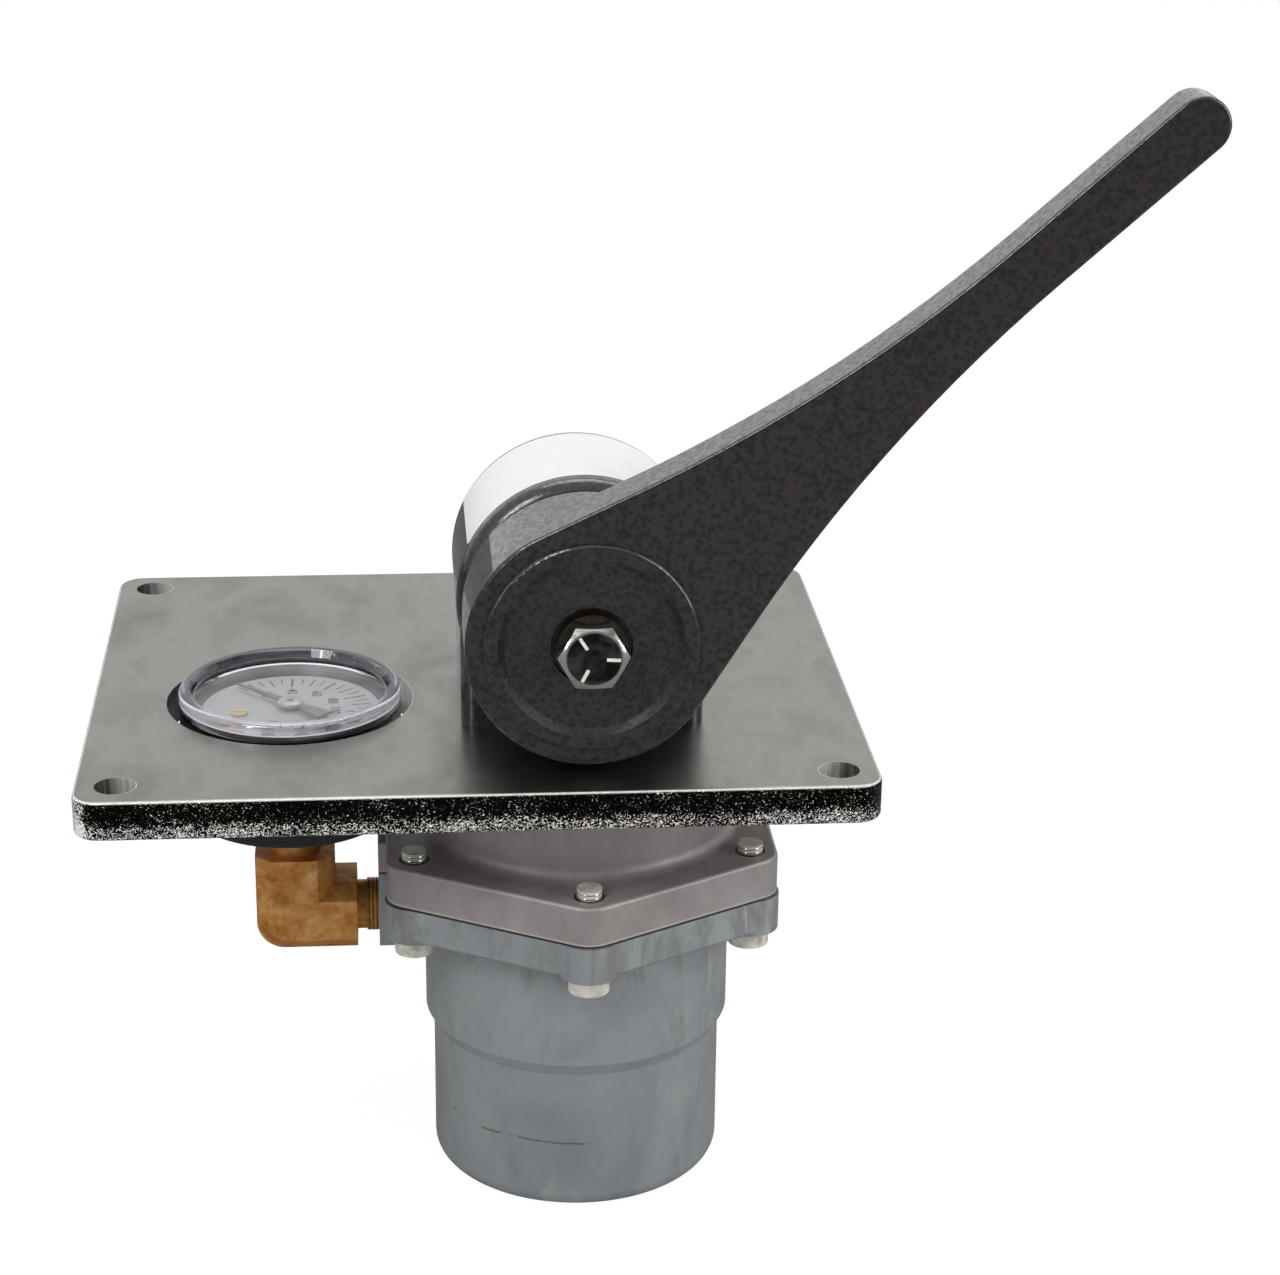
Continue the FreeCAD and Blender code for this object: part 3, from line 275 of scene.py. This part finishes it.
def bright_zinc():
    f = Finish("bright_zinc", Metallic=1.0)
    cloud = f.noise(420.0, 4.0, 0.6)
    scuff = f.noise(1500.0, 3.0, 0.6, f.place((1.0, 0.35, 1.0)))
    worn = (cloud * 0.6 + scuff * 0.4).above(0.30, 0.62)
    f.feed("Base Color", f.blend(worn, (0.52, 0.51, 0.47), (0.80, 0.79, 0.74)))
    f.feed("Roughness", 0.13 + 0.16 * scuff * cloud)
    f.feed("Normal", f.bump(scuff, 0.03 * MM, 0.5))
    return f.material


def bolt_steel():
    """Bright steel, with the flat middle of the head's front face painted dark as a painted reflection of the
    dark space in front.
    """
    f = Finish("bolt_steel", Metallic=1.0)
    x, y, z = f.axes((VALVE.x, 0, SHAFT_Z))
    out = (x * x + z * z) ** 0.5
    front = y.above(BOLT_FRONT + 0.5 * MM, BOLT_FRONT + 0.1 * MM)
    painted_reflection_mask = out.above(BOLT_FACE_R, BOLT_FACE_R - 0.45 * MM) * front
    cloud = f.noise(420.0, 4.0, 0.6)
    smear = f.noise(130.0, 3.0, 0.6, twist=1.0)
    # dark is the painted dark reflection for the head's flat middle, mottled by smear.
    dark = f.blend(smear.above(0.38, 0.66), (0.030, 0.029, 0.028), (0.150, 0.147, 0.138))
    f.feed("Base Color", f.blend(painted_reflection_mask, f.blend(cloud, (0.60, 0.59, 0.54), (0.88, 0.87, 0.82)), dark))
    f.feed("Roughness", 0.12 + 0.12 * cloud)
    f.feed("Normal", f.bump(cloud, 0.03 * MM, 0.4))
    return f.material


def pale_zinc():
    f = Finish("pale_zinc", Metallic=0.30)
    cloud = f.noise(260.0, 4.0, 0.65)
    pit = f.noise(1300.0, 2.0, 0.5)
    f.feed("Base Color", f.ramp(cloud, (0.30, (0.33, 0.315, 0.270)), (0.50, (0.58, 0.56, 0.49)),
                                (0.72, (0.76, 0.74, 0.66))))
    f.feed("Roughness", 0.42 + 0.2 * pit)
    f.feed("Normal", f.bump(pit, 0.05 * MM, 0.5))
    return f.material


def cover_casting():
    f = Finish("cover_casting")
    z = f.axes()[2]
    cloud = f.noise(38.0, 4.0, 0.6, twist=0.3)
    smear = f.noise(110.0, 4.0, 0.7, f.place((1.0, 1.0, 0.4)))
    grain = f.noise(1800.0, 3.0, 0.6)
    nick = f.noise(240.0, 5.0, 0.75).above(0.675, 0.72)
    foot = (1.0 - abs(z - COVER_FOOT) / (0.35 * MM)).above(0.0, 0.8)
    tone = cloud * 0.55 + smear * 0.35 + grain * 0.10
    body = f.ramp(tone, (0.34, (0.238, 0.215, 0.210)), (0.50, (0.324, 0.295, 0.290)),
                  (0.66, (0.402, 0.373, 0.364)))
    f.feed("Base Color", f.blend((nick * 0.6).most(foot * 0.6), body, (0.56, 0.54, 0.50)))
    f.feed("Metallic", 0.40 + 0.2 * cloud)
    f.feed("Roughness", 0.46 + 0.14 * grain - 0.1 * nick)
    f.feed("Normal", f.bump(grain * 0.7 + smear * 0.3, 0.10 * MM, 0.55))
    return f.material


def body_casting():
    f = Finish("body_casting")
    x, y, z = f.axes()
    cloud = f.noise(30.0, 5.0, 0.62, f.place((1.0, 1.0, 0.7)), 0.5)
    run = f.noise(75.0, 4.0, 0.7, f.place((1.0, 1.0, 0.30)), 0.8)
    grain = f.noise(1500.0, 3.0, 0.6)
    # stain is partly random stains from run and cloud and partly painted shade: its z term darkens the body
    # more just under the flange.
    stain = (run * 0.7 + cloud * 0.3 + z.above(-0.056, -0.048) * 0.07).above(0.54, 0.67)
    pale = (f.noise(46.0, 5.0, 0.7, f.place((1.2, 1.2, 0.8), (0.3, 0.1, 0.2)))).above(0.56, 0.72)
    nick = f.noise(330.0, 5.0, 0.8).above(0.685, 0.73)
    wobble = f.noise(60.0, 2.0, 0.5)
    line = 1.0 - abs(z - SCRATCH_Z + (wobble - 0.5) * 2.0 * MM) / (0.40 * MM)
    broken = f.noise(150.0, 3.0, 0.6).above(0.40, 0.52)
    left_front = x.above(VALVE.x + 3 * MM, VALVE.x - 1 * MM) * y.above(0.0, -0.02)
    scratch = line.above(0.0, 0.7) * left_front * broken
    # Pale vertical streaks on the right side of the body only are a painted sheen.
    painted_light_streak = f.noise(240.0, 3.0, 0.6, f.place((1.0, 1.0, 0.12))).above(0.60, 0.68) * x.above(0.044, 0.062)
    base = f.ramp(cloud, (0.32, (0.225, 0.241, 0.251)), (0.52, (0.294, 0.315, 0.327)),
                  (0.70, (0.344, 0.363, 0.372)))
    worn = f.blend(stain * 0.50, base, (0.140, 0.136, 0.128))
    worn = f.blend(pale * 0.34, worn, (0.480, 0.498, 0.482))
    worn = f.blend(painted_light_streak * 0.30, worn, (0.62, 0.63, 0.61))
    worn = f.blend(scratch * 0.75, worn, (0.11, 0.085, 0.070))
    f.feed("Base Color", f.blend(nick * 0.55, worn, (0.050, 0.046, 0.042)))
    f.feed("Metallic", 0.32 + 0.2 * cloud)
    f.feed("Roughness", 0.40 + 0.18 * run)
    f.feed("Normal", f.bump(grain * 0.5 + cloud * 0.5, 0.12 * MM, 0.5))
    return f.material


def mottled_brass():
    f = Finish("mottled_brass")
    cloud = f.noise(130.0, 5.0, 0.65, twist=0.4)
    spot = f.noise(420.0, 4.0, 0.7)
    grain = f.noise(2200.0, 2.0, 0.6)
    pit = f.noise(300.0, 3.0, 0.8).above(0.70, 0.76)
    tone = cloud * 0.6 + spot * 0.4
    colour = f.ramp(tone, (0.34, (0.270, 0.096, 0.016)), (0.47, (0.590, 0.250, 0.050)),
                    (0.60, (0.780, 0.410, 0.135)), (0.74, (0.920, 0.660, 0.380)))
    f.feed("Base Color", f.blend(pit * 0.7, colour, (0.07, 0.045, 0.025)))
    f.feed("Metallic", 0.50 + 0.2 * cloud)
    f.feed("Roughness", 0.36 + 0.22 * spot)
    f.feed("Normal", f.bump(grain * 0.4 + spot * 0.6, 0.10 * MM, 0.6))
    return f.material


def plain(name, low, high, rough, metallic=0.0, per_metre=300.0, depth=0.03):
    f = Finish(name, Metallic=metallic)
    cloud = f.noise(per_metre, 4.0, 0.6)
    fine = f.noise(per_metre * 6, 2.0, 0.5)
    f.feed("Base Color", f.blend(cloud.above(0.3, 0.7), low, high))
    f.feed("Roughness", rough + 0.12 * (fine - 0.5))
    f.feed("Normal", f.bump(fine, depth * MM, 0.5))
    return f.material


def clear_lens():
    f = Finish("clear_lens", Metallic=0.0, IOR=1.49, Transmission_Weight=1.0)
    x, y, z = f.axes(GAUGE)
    out = (x * x + y * y) ** 0.5
    rim = out.above(LENS_RIM_R, LENS_RIM_R + 0.9 * MM) * z.above(PLATE_TOP - 0.2 * MM, PLATE_TOP + 0.6 * MM)
    haze = f.noise(90.0, 3.0, 0.6)
    painted_light_streak = f.noise(60.0, 3.0, 0.6, f.place((0.30, 0.30, 12.0)))
    f.feed("Base Color", f.blend(rim, (0.985, 0.985, 0.99), (0.93, 0.93, 0.985)))
    f.feed("Roughness", 0.012 + 0.02 * haze)
    # The grey and pale diffuse bands on the rim are painted light standing in for its refractions and
    # reflections; near puts more of them on the front of the rim.
    grey = f.node("ShaderNodeBsdfDiffuse", {}, {0: (0.16, 0.155, 0.21)})
    pale = f.node("ShaderNodeBsdfDiffuse", {}, {0: (0.66, 0.64, 0.82)})
    painted_rim_bands = f.node("ShaderNodeMixShader", {}, {0: painted_light_streak.above(0.46, 0.60), 1: grey, 2: pale})
    gloss = f.node("ShaderNodeBsdfAnisotropic", {}, {0: (0.9, 0.9, 0.95), "Roughness": 0.06})
    edge = f.node("ShaderNodeMixShader", {}, {0: 0.20, 1: painted_rim_bands, 2: gloss})
    near = y.above(0.010, -0.010)
    painted_band_share = rim * (0.04 + 0.14 * painted_light_streak.above(0.40, 0.62) + 0.17 * near)
    open_pane = f.node("ShaderNodeBsdfTransparent", {}, {0: (0.97, 0.97, 0.98)})
    shine = f.node("ShaderNodeBsdfAnisotropic", {}, {0: (1.0, 1.0, 1.0), "Roughness": 0.02})
    pane = f.node("ShaderNodeMixShader", {}, {0: 0.07 + 0.03 * haze, 1: open_pane, 2: shine})
    window = 1.0 - out.above(LENS_RIM_R - 0.2 * MM, LENS_RIM_R + 0.2 * MM)
    glass = f.node("ShaderNodeMixShader", {}, {0: window, 1: Value(f, f.shader.outputs[0]), 2: pane})
    body = f.node("ShaderNodeMixShader", {}, {0: painted_band_share, 1: glass, 2: edge})
    shade = f.node("ShaderNodeLightPath", {}, {}, 1)
    through = f.node("ShaderNodeBsdfTransparent", {}, {0: (0.93, 0.93, 0.96)})
    mixed = f.node("ShaderNodeMixShader", {}, {0: shade, 1: body, 2: through})
    f.join(f.output.inputs[0], mixed)
    return f.material


def label_film():
    f = Finish("label_film", Metallic=0.0)
    cloud = f.noise(160.0, 3.0, 0.6)
    fine = f.noise(2400.0, 2.0, 0.5)
    f.feed("Base Color", f.blend(cloud, (0.70, 0.70, 0.69), (0.80, 0.80, 0.79)))
    f.feed("Roughness", 0.34 + 0.1 * fine)
    f.feed("Normal", f.bump(fine, 0.02 * MM, 0.4))
    return f.material


FINISH = {
    "plated_plate": plated_plate(),
    "hammertone": hammertone(),
    "bright_zinc": bright_zinc(),
    "pale_zinc": pale_zinc(),
    "bolt_steel": bolt_steel(),
    "mark_steel": plain("mark_steel", (0.62, 0.61, 0.57), (0.82, 0.81, 0.76), 0.4, 0.2, 900.0),
    "cover_casting": cover_casting(),
    "body_casting": body_casting(),
    "mottled_brass": mottled_brass(),
    "clear_lens": clear_lens(),
    "label_film": label_film(),
    "ground_steel": plain("ground_steel", (0.36, 0.36, 0.37), (0.52, 0.52, 0.53), 0.32, 1.0),
    "bronze": plain("bronze", (0.42, 0.27, 0.12), (0.56, 0.38, 0.18), 0.38, 1.0),
    "spring_wire": plain("spring_wire", (0.16, 0.16, 0.18), (0.26, 0.26, 0.28), 0.35, 1.0),
    "machined_alloy": plain("machined_alloy", (0.50, 0.51, 0.52), (0.66, 0.66, 0.67), 0.34, 1.0),
    "black_rubber": plain("black_rubber", (0.012, 0.012, 0.012), (0.025, 0.025, 0.025), 0.62),
    "fibre_washer": plain("fibre_washer", (0.06, 0.045, 0.035), (0.10, 0.075, 0.055), 0.8),
    "black_case": plain("black_case", (0.008, 0.008, 0.009), (0.016, 0.016, 0.018), 0.32, 0.0, 500.0),
    "dial_enamel": plain("dial_enamel", (0.365, 0.36, 0.35), (0.405, 0.40, 0.39), 0.45, 0.0, 120.0, 0.01),
    # Dark metal for the washers; on the screw rings the same dark is painted shade.
    "dark_metal_and_painted_shade": plain("dark_metal_and_painted_shade", (0.055, 0.048, 0.040), (0.100, 0.088, 0.072), 0.36, 1.0, 500.0),
    "dial_ink": plain("dial_ink", (0.010, 0.010, 0.011), (0.025, 0.025, 0.028), 0.6, 0.0, 900.0, 0.01),
    "pointer_paint": plain("pointer_paint", (0.12, 0.10, 0.09), (0.19, 0.16, 0.145), 0.42, 0.3, 400.0),
    "hub_steel": plain("hub_steel", (0.36, 0.345, 0.30), (0.50, 0.48, 0.42), 0.3, 0.45, 500.0),
    "dial_wall": plain("dial_wall", (0.040, 0.040, 0.044), (0.11, 0.11, 0.115), 0.30, 0.3, 60.0, 0.01),
    "dark_brass": plain("dark_brass", (0.10, 0.060, 0.028), (0.26, 0.165, 0.075), 0.42, 0.7, 500.0),
    "pale_brass": plain("pale_brass", (0.46, 0.37, 0.20), (0.62, 0.52, 0.31), 0.38, 0.45, 500.0),
}

NODE_FINISH = {
    "plated_plate": ["panel_plate"],
    "hammertone": ["lever", "camshaft_housing"],
    "bright_zinc": ["clamp_screws"],
    "bolt_steel": ["clamp_bolt"],
    "dark_metal_and_painted_shade": ["flat_washer", "lock_washer"],
    "pale_zinc": ["flange_screws"],
    "cover_casting": ["upper_cover"],
    "body_casting": ["lower_body"],
    "mottled_brass": ["street_elbow", "gauge_stem", "movement_frame"],
    "pale_brass": ["dial_screws"],
    "clear_lens": ["gauge_lens"],
    "ground_steel": ["camshaft", "shaft_keys", "cam_disc", "cam_roller", "roller_pin", "pointer_spindle",
                     "port_inserts"],
    "bronze": ["front_bushing", "rear_bushing", "thrust_washers", "plunger", "valve_seat", "poppet",
               "bourdon_tube"],
    "spring_wire": ["graduating_spring", "poppet_spring", "piston_stop", "cap_ring"],
    "machined_alloy": ["piston", "bottom_cap"],
    "black_rubber": ["shaft_seal", "flange_gasket", "piston_ring"],
    "fibre_washer": ["friction_washer"],
    "black_case": ["gauge_case"],
    "dial_enamel": ["gauge_dial"],
    "pointer_paint": ["pointer"],
}


def dress_nodes():
    for finish, nodes in NODE_FINISH.items():
        for name in nodes:
            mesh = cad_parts[name].data
            mesh.materials.clear()
            mesh.materials.append(FINISH[finish])


# Pieces that the frame leaves to this script
def add_piece(name, bm, body, finish, smooth=40.0):
    bmesh.ops.remove_doubles(bm, verts=bm.verts, dist=1e-7)
    bmesh.ops.recalc_face_normals(bm, faces=bm.faces)
    mesh = bpy.data.meshes.new(name)
    bm.to_mesh(mesh)
    bm.free()
    piece = bpy.data.objects.new(name, mesh)
    bpy.context.scene.collection.objects.link(piece)
    mesh.materials.append(FINISH[finish])
    mesh.shade_smooth()
    mesh.set_sharp_from_angle(angle=math.radians(smooth))
    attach(piece, body)
    return piece


def turned(bm, outline, axis, centre, steps=96):
    """Spins a closed outline of (radius, height) points about an axis through centre."""
    side = axis.orthogonal().normalized()
    ring = [bm.verts.new(centre + side * r + axis * h) for r, h in outline]
    edges = [bm.edges.new((ring[i], ring[(i + 1) % len(ring)])) for i in range(len(ring))]
    bmesh.ops.spin(bm, geom=ring + edges, cent=centre, axis=axis, dvec=(0, 0, 0),
                   angle=2 * math.pi, steps=steps, use_merge=True, use_duplicate=False)


def label():
    """A thin blank label that wraps over the housing's top."""
    bm = bmesh.new()
    y0 = -31.3 * MM
    y1 = 2.2 * MM
    radius = HOUSING_R + 0.02 * MM
    start = math.radians(154)
    sweep = math.radians(128)
    first = Vector((VALVE.x + radius * math.cos(start), y0, SHAFT_Z + radius * math.sin(start)))
    a = bm.verts.new(first)
    b = bm.verts.new(first + Vector((0, y1 - y0, 0)))
    edge = bm.edges.new((a, b))
    bmesh.ops.spin(bm, geom=[a, b, edge], cent=(VALVE.x, 0, SHAFT_Z), axis=(0, 1, 0), dvec=(0, 0, 0),
                   angle=sweep, steps=64, use_duplicate=False)
    bmesh.ops.recalc_face_normals(bm, faces=bm.faces)
    corners = [v for v in bm.verts if len(v.link_faces) == 1]
    bmesh.ops.bevel(bm, geom=corners, offset=1.6 * MM, segments=5, profile=0.5,
                    affect="VERTICES", material=-1)
    outside = sum((f.normal.dot(f.calc_center_median() - Vector((VALVE.x, 0, SHAFT_Z))) for f in bm.faces))
    thick = -0.14 * MM if outside > 0 else 0.14 * MM
    bmesh.ops.solidify(bm, geom=list(bm.faces), thickness=thick)
    return add_piece("label", bm, "valve_body", "label_film", 30.0)


def bolt_marks():
    """Three raised grade lines on the clamp bolt's head."""
    bm = bmesh.new()
    for degrees in (-3.0, 123.0, 243.0):
        turn = math.radians(degrees)
        made = bmesh.ops.create_cube(bm, size=1.0)
        place = (Matrix.Translation((VALVE.x, BOLT_FRONT, SHAFT_Z)) @ Matrix.Rotation(-turn, 4, "Y")
                 @ Matrix.Translation((4.4 * MM, 0, 0)) @ Matrix.Diagonal((3.2 * MM, 0.6 * MM, 0.75 * MM, 1)))
        bmesh.ops.transform(bm, matrix=place, verts=made["verts"])
    bmesh.ops.bevel(bm, geom=list(bm.edges), offset=0.12 * MM, segments=2, profile=0.5,
                    affect="EDGES", material=-1)
    return add_piece("bolt_marks", bm, "lever_shaft", "mark_steel")


def thread(bm, centre, axis, radius, length, pitch, depth):
    """A stack of closed thread ridges round an axis, from centre along its length."""
    count = int(length / pitch)
    outline = [(radius - depth * 1.6, 0)]
    for i in range(count):
        outline += [(radius - depth, i * pitch), (radius, (i + 0.40) * pitch), (radius, (i + 0.60) * pitch)]
    outline += [(radius - depth, count * pitch), (radius - depth * 1.6, count * pitch)]
    turned(bm, outline, axis, centre, 64)


def brass_threads():
    """Thread ridges on the gauge port's nipple and on the stem's spigot."""
    bm = bmesh.new()
    nipple = Vector((NIPPLE_X, GAUGE.y, GAUGE_PORT_Z))
    thread(bm, nipple, Vector((1, 0, 0)), NIPPLE_R, NIPPLE_THREAD_L, PIPE_PITCH, PIPE_DEPTH)
    stem = Vector((GAUGE.x, GAUGE.y, STEM_FOOT))
    thread(bm, stem, UP, STEM_SPIGOT_R, STEM_THREAD_L, PIPE_PITCH, PIPE_DEPTH)
    return add_piece("brass_threads", bm, "valve_body", "dark_brass")


def screw_spots():
    spots = []
    for i in range(6):
        turn = math.radians(30 + 60 * i)
        spots.append(VALVE + Vector((math.cos(turn), math.sin(turn), 0)) * SCREW_CIRCLE)
    return spots


def flange_screw_ends():
    """Threaded tips above the cover's flange."""
    bm = bmesh.new()
    for spot in screw_spots():
        foot = Vector((spot.x, spot.y, FLANGE_TOP))
        thread(bm, foot, UP, SCREW_TIP_R, SCREW_TIP_L, 1.0 * MM, 0.30 * MM)
    return add_piece("flange_screw_ends", bm, "valve_body", "bright_zinc")


def screw_rings():
    """Thin dark rings of painted shade at the foot of each screw, where it comes through the cover's flange.
    """
    bm = bmesh.new()
    outline = [(3.02, 0.0), (3.75, 0.0), (3.62, 0.14), (3.02, 0.16)]
    for spot in screw_spots():
        turned(bm, [(r * MM, h * MM) for r, h in outline], UP,
               Vector((spot.x, spot.y, FLANGE_TOP)), 32)
    return add_piece("screw_rings", bm, "valve_body", "dark_metal_and_painted_shade")


def flange_screw_heads():
    """Round heads with a driving socket, under the body's flange."""
    bm = bmesh.new()
    outline = [(1.0, -1.6), (2.2, -1.6), (2.4, -4.35), (4.3, -4.35), (4.75, -4.1), (4.93, -3.7), (4.93, -0.2),
               (4.7, 0.0), (1.0, 0.0)]
    for spot in screw_spots():
        turned(bm, [(r * MM, h * MM) for r, h in outline], UP,
               Vector((spot.x, spot.y, SCREW_UNDER)), 40)
    return add_piece("flange_screw_heads", bm, "valve_body", "pale_zinc")


def scale_turn(unit):
    return math.radians(SCALE_START - SCALE_SWEEP * unit / SCALE_END)


def dial_marks():
    """Scale lines on the dial, every five units, with a longer one each twenty."""
    bm = bmesh.new()
    for unit in range(15, SCALE_END + 1, 5):
        if unit % 20 == 0:
            inner, width = 14.0 * MM, 0.46 * MM
        elif unit % 10 == 0:
            inner, width = 14.9 * MM, 0.34 * MM
        else:
            inner, width = 16.2 * MM, 0.28 * MM
        outer = 19.4 * MM
        made = bmesh.ops.create_cube(bm, size=1.0)
        place = (Matrix.Translation((GAUGE.x, GAUGE.y, DIAL_TOP)) @ Matrix.Rotation(scale_turn(unit), 4, "Z")
                 @ Matrix.Translation(((inner + outer) / 2, 0, 0))
                 @ Matrix.Diagonal((outer - inner, width, 0.06 * MM, 1)))
        bmesh.ops.transform(bm, matrix=place, verts=made["verts"])
    return add_piece("dial_marks", bm, "valve_body", "dial_ink")


def dial_wall():
    """A thin sloping ring between the dial and the lens."""
    bm = bmesh.new()
    outline = [(21.5, 7.02), (21.9, 7.02), (23.9, 9.4), (23.6, 9.4)]
    turned(bm, [(r * MM, h * MM) for r, h in outline], UP, Vector((GAUGE.x, GAUGE.y, 0)), 96)
    return add_piece("dial_wall", bm, "valve_body", "dial_wall")


def dial_numbers():
    """Plain numbers round the dial, from 20 to 160."""
    bm = bmesh.new()
    for unit in range(20, SCALE_END + 1, 20):
        curve = bpy.data.curves.new("number", "FONT")
        curve.body = str(unit)
        curve.size = 3.5 * MM
        curve.align_x = "CENTER"
        curve.align_y = "CENTER"
        curve.extrude = 0.03 * MM
        curve.offset = 0.06 * MM
        text = bpy.data.objects.new("number", curve)
        bpy.context.scene.collection.objects.link(text)
        bpy.context.view_layer.update()
        mesh = bpy.data.meshes.new_from_object(text.evaluated_get(bpy.context.evaluated_depsgraph_get()))
        turn = scale_turn(unit)
        spot = GAUGE + Vector((math.cos(turn), math.sin(turn), 0)) * 11.0 * MM
        place = Matrix.Translation((spot.x, spot.y, DIAL_TOP)) @ Matrix.Rotation(-math.pi / 2, 4, "Z")
        mesh.transform(place)
        bm.from_mesh(mesh)
        bpy.data.objects.remove(text)
        bpy.data.curves.remove(curve)
        bpy.data.meshes.remove(mesh)
    return add_piece("dial_numbers", bm, "valve_body", "dial_ink")


def pointer_cap():
    """A pale turned cap over the pointer's boss."""
    bm = bmesh.new()
    outline = [(0.0, 0.0), (3.05, 0.0), (3.05, 0.6), (2.7, 0.9), (1.0, 0.98), (0.9, 0.85), (0.0, 0.85)]
    foot = Vector((GAUGE.x, GAUGE.y, POINTER_TOP))
    turned(bm, [(r * MM, h * MM) for r, h in outline], UP, foot, 48)
    return add_piece("pointer_cap", bm, "pointer_group", "hub_steel")


# Floor, light and backdrop
def set_stage():
    bm = bmesh.new()
    bmesh.ops.create_circle(bm, cap_ends=True, segments=64, radius=6.0)
    mesh = bpy.data.meshes.new("floor")
    bm.to_mesh(mesh)
    bm.free()
    mesh.transform(Matrix.Translation((0, 0, FLOOR_Z)))
    floor = bpy.data.objects.new("floor", mesh)
    bpy.context.scene.collection.objects.link(floor)
    f = Finish("pale_floor", Roughness=0.9, Base_Color=(0.86, 0.86, 0.86))
    seen = f.node("ShaderNodeLightPath", {}, {}, 0)
    glow = f.node("ShaderNodeEmission", {}, {0: (1.0, 1.0, 1.0), 1: 1.04})
    mixed = f.node("ShaderNodeMixShader", {}, {0: seen * 0.92, 1: Value(f, f.shader.outputs[0]), 2: glow})
    mirrored = f.node("ShaderNodeLightPath", {}, {}, 3)
    dark = f.node("ShaderNodeBsdfDiffuse", {}, {0: (0.07, 0.07, 0.07)})
    mixed = f.node("ShaderNodeMixShader", {}, {0: mirrored * 0.85, 1: mixed, 2: dark})
    f.join(f.output.inputs[0], mixed)
    mesh.materials.append(f.material)


class Backdrop(Finish):
    def __init__(self, world):
        self.tree = world.node_tree


def set_world():
    """White for the camera; for reflections white above, behind and at the sides, and dark in front."""
    world = bpy.data.worlds.new("studio")
    bpy.context.scene.world = world
    world.use_nodes = True
    ground = world.node_tree.nodes["Background"]
    f = Backdrop(world)
    paths = f.node("ShaderNodeLightPath").socket.node.outputs
    camera = Value(f, paths["Is Camera Ray"]).most(Value(f, paths["Is Transmission Ray"]))
    glossy = Value(f, paths["Is Glossy Ray"])
    where = f.node("ShaderNodeTexCoord", {}, {}, 0)
    x, y, z = [Value(f, s) for s in f.node("ShaderNodeSeparateXYZ", {}, {0: where}).socket.node.outputs]
    above = z.above(0.30, 0.75) * 0.80
    behind = y.above(0.05, 0.55) * 0.92
    sides = abs(x).above(0.55, 0.80) * 0.60
    mirrored = above.most(behind).most(sides).most(0.045)
    lit = mirrored * glossy + (1.0 - glossy) * 0.50
    f.join(ground.inputs[0], (1.0, 1.0, 1.0))
    f.join(ground.inputs[1], lit * (1.0 - camera) + camera)


def add_lamp(name, place, aim, size, power, colour=(1, 1, 1)):
    data = bpy.data.lights.new(name, "AREA")
    data.shape = "RECTANGLE"
    data.size = size[0]
    data.size_y = size[1]
    data.energy = power
    data.color = colour
    lamp = bpy.data.objects.new(name, data)
    bpy.context.scene.collection.objects.link(lamp)
    facing = (Vector(place) - Vector(aim)).to_track_quat("Z", "Y")
    lamp.matrix_world = Matrix.Translation(place) @ facing.to_matrix().to_4x4()


def set_lamps():
    add_lamp("key", (-0.75, -0.85, 0.95), (0, 0, 0), (0.55, 0.55), 6.5)
    add_lamp("side", (1.0, -0.45, 0.45), (0.02, 0, 0), (0.35, 0.8), 4.2)
    add_lamp("left_strip", (-0.62, -0.70, 0.50), (0.02, 0, 0.04), (0.05, 1.1), 2.6)
    add_lamp("right_strip", (0.80, -0.60, 0.40), (0.02, 0, 0.04), (0.05, 1.1), 2.2)
    add_lamp("over", (0.05, 0.45, 1.1), (0, 0, 0), (0.9, 0.5), 5.0)


def main():
    set_camera()
    dress_nodes()
    label()
    bolt_marks()
    brass_threads()
    flange_screw_ends()
    screw_rings()
    flange_screw_heads()
    dial_marks()
    dial_numbers()
    dial_wall()
    pointer_cap()
    set_stage()
    set_world()
    set_lamps()


main()
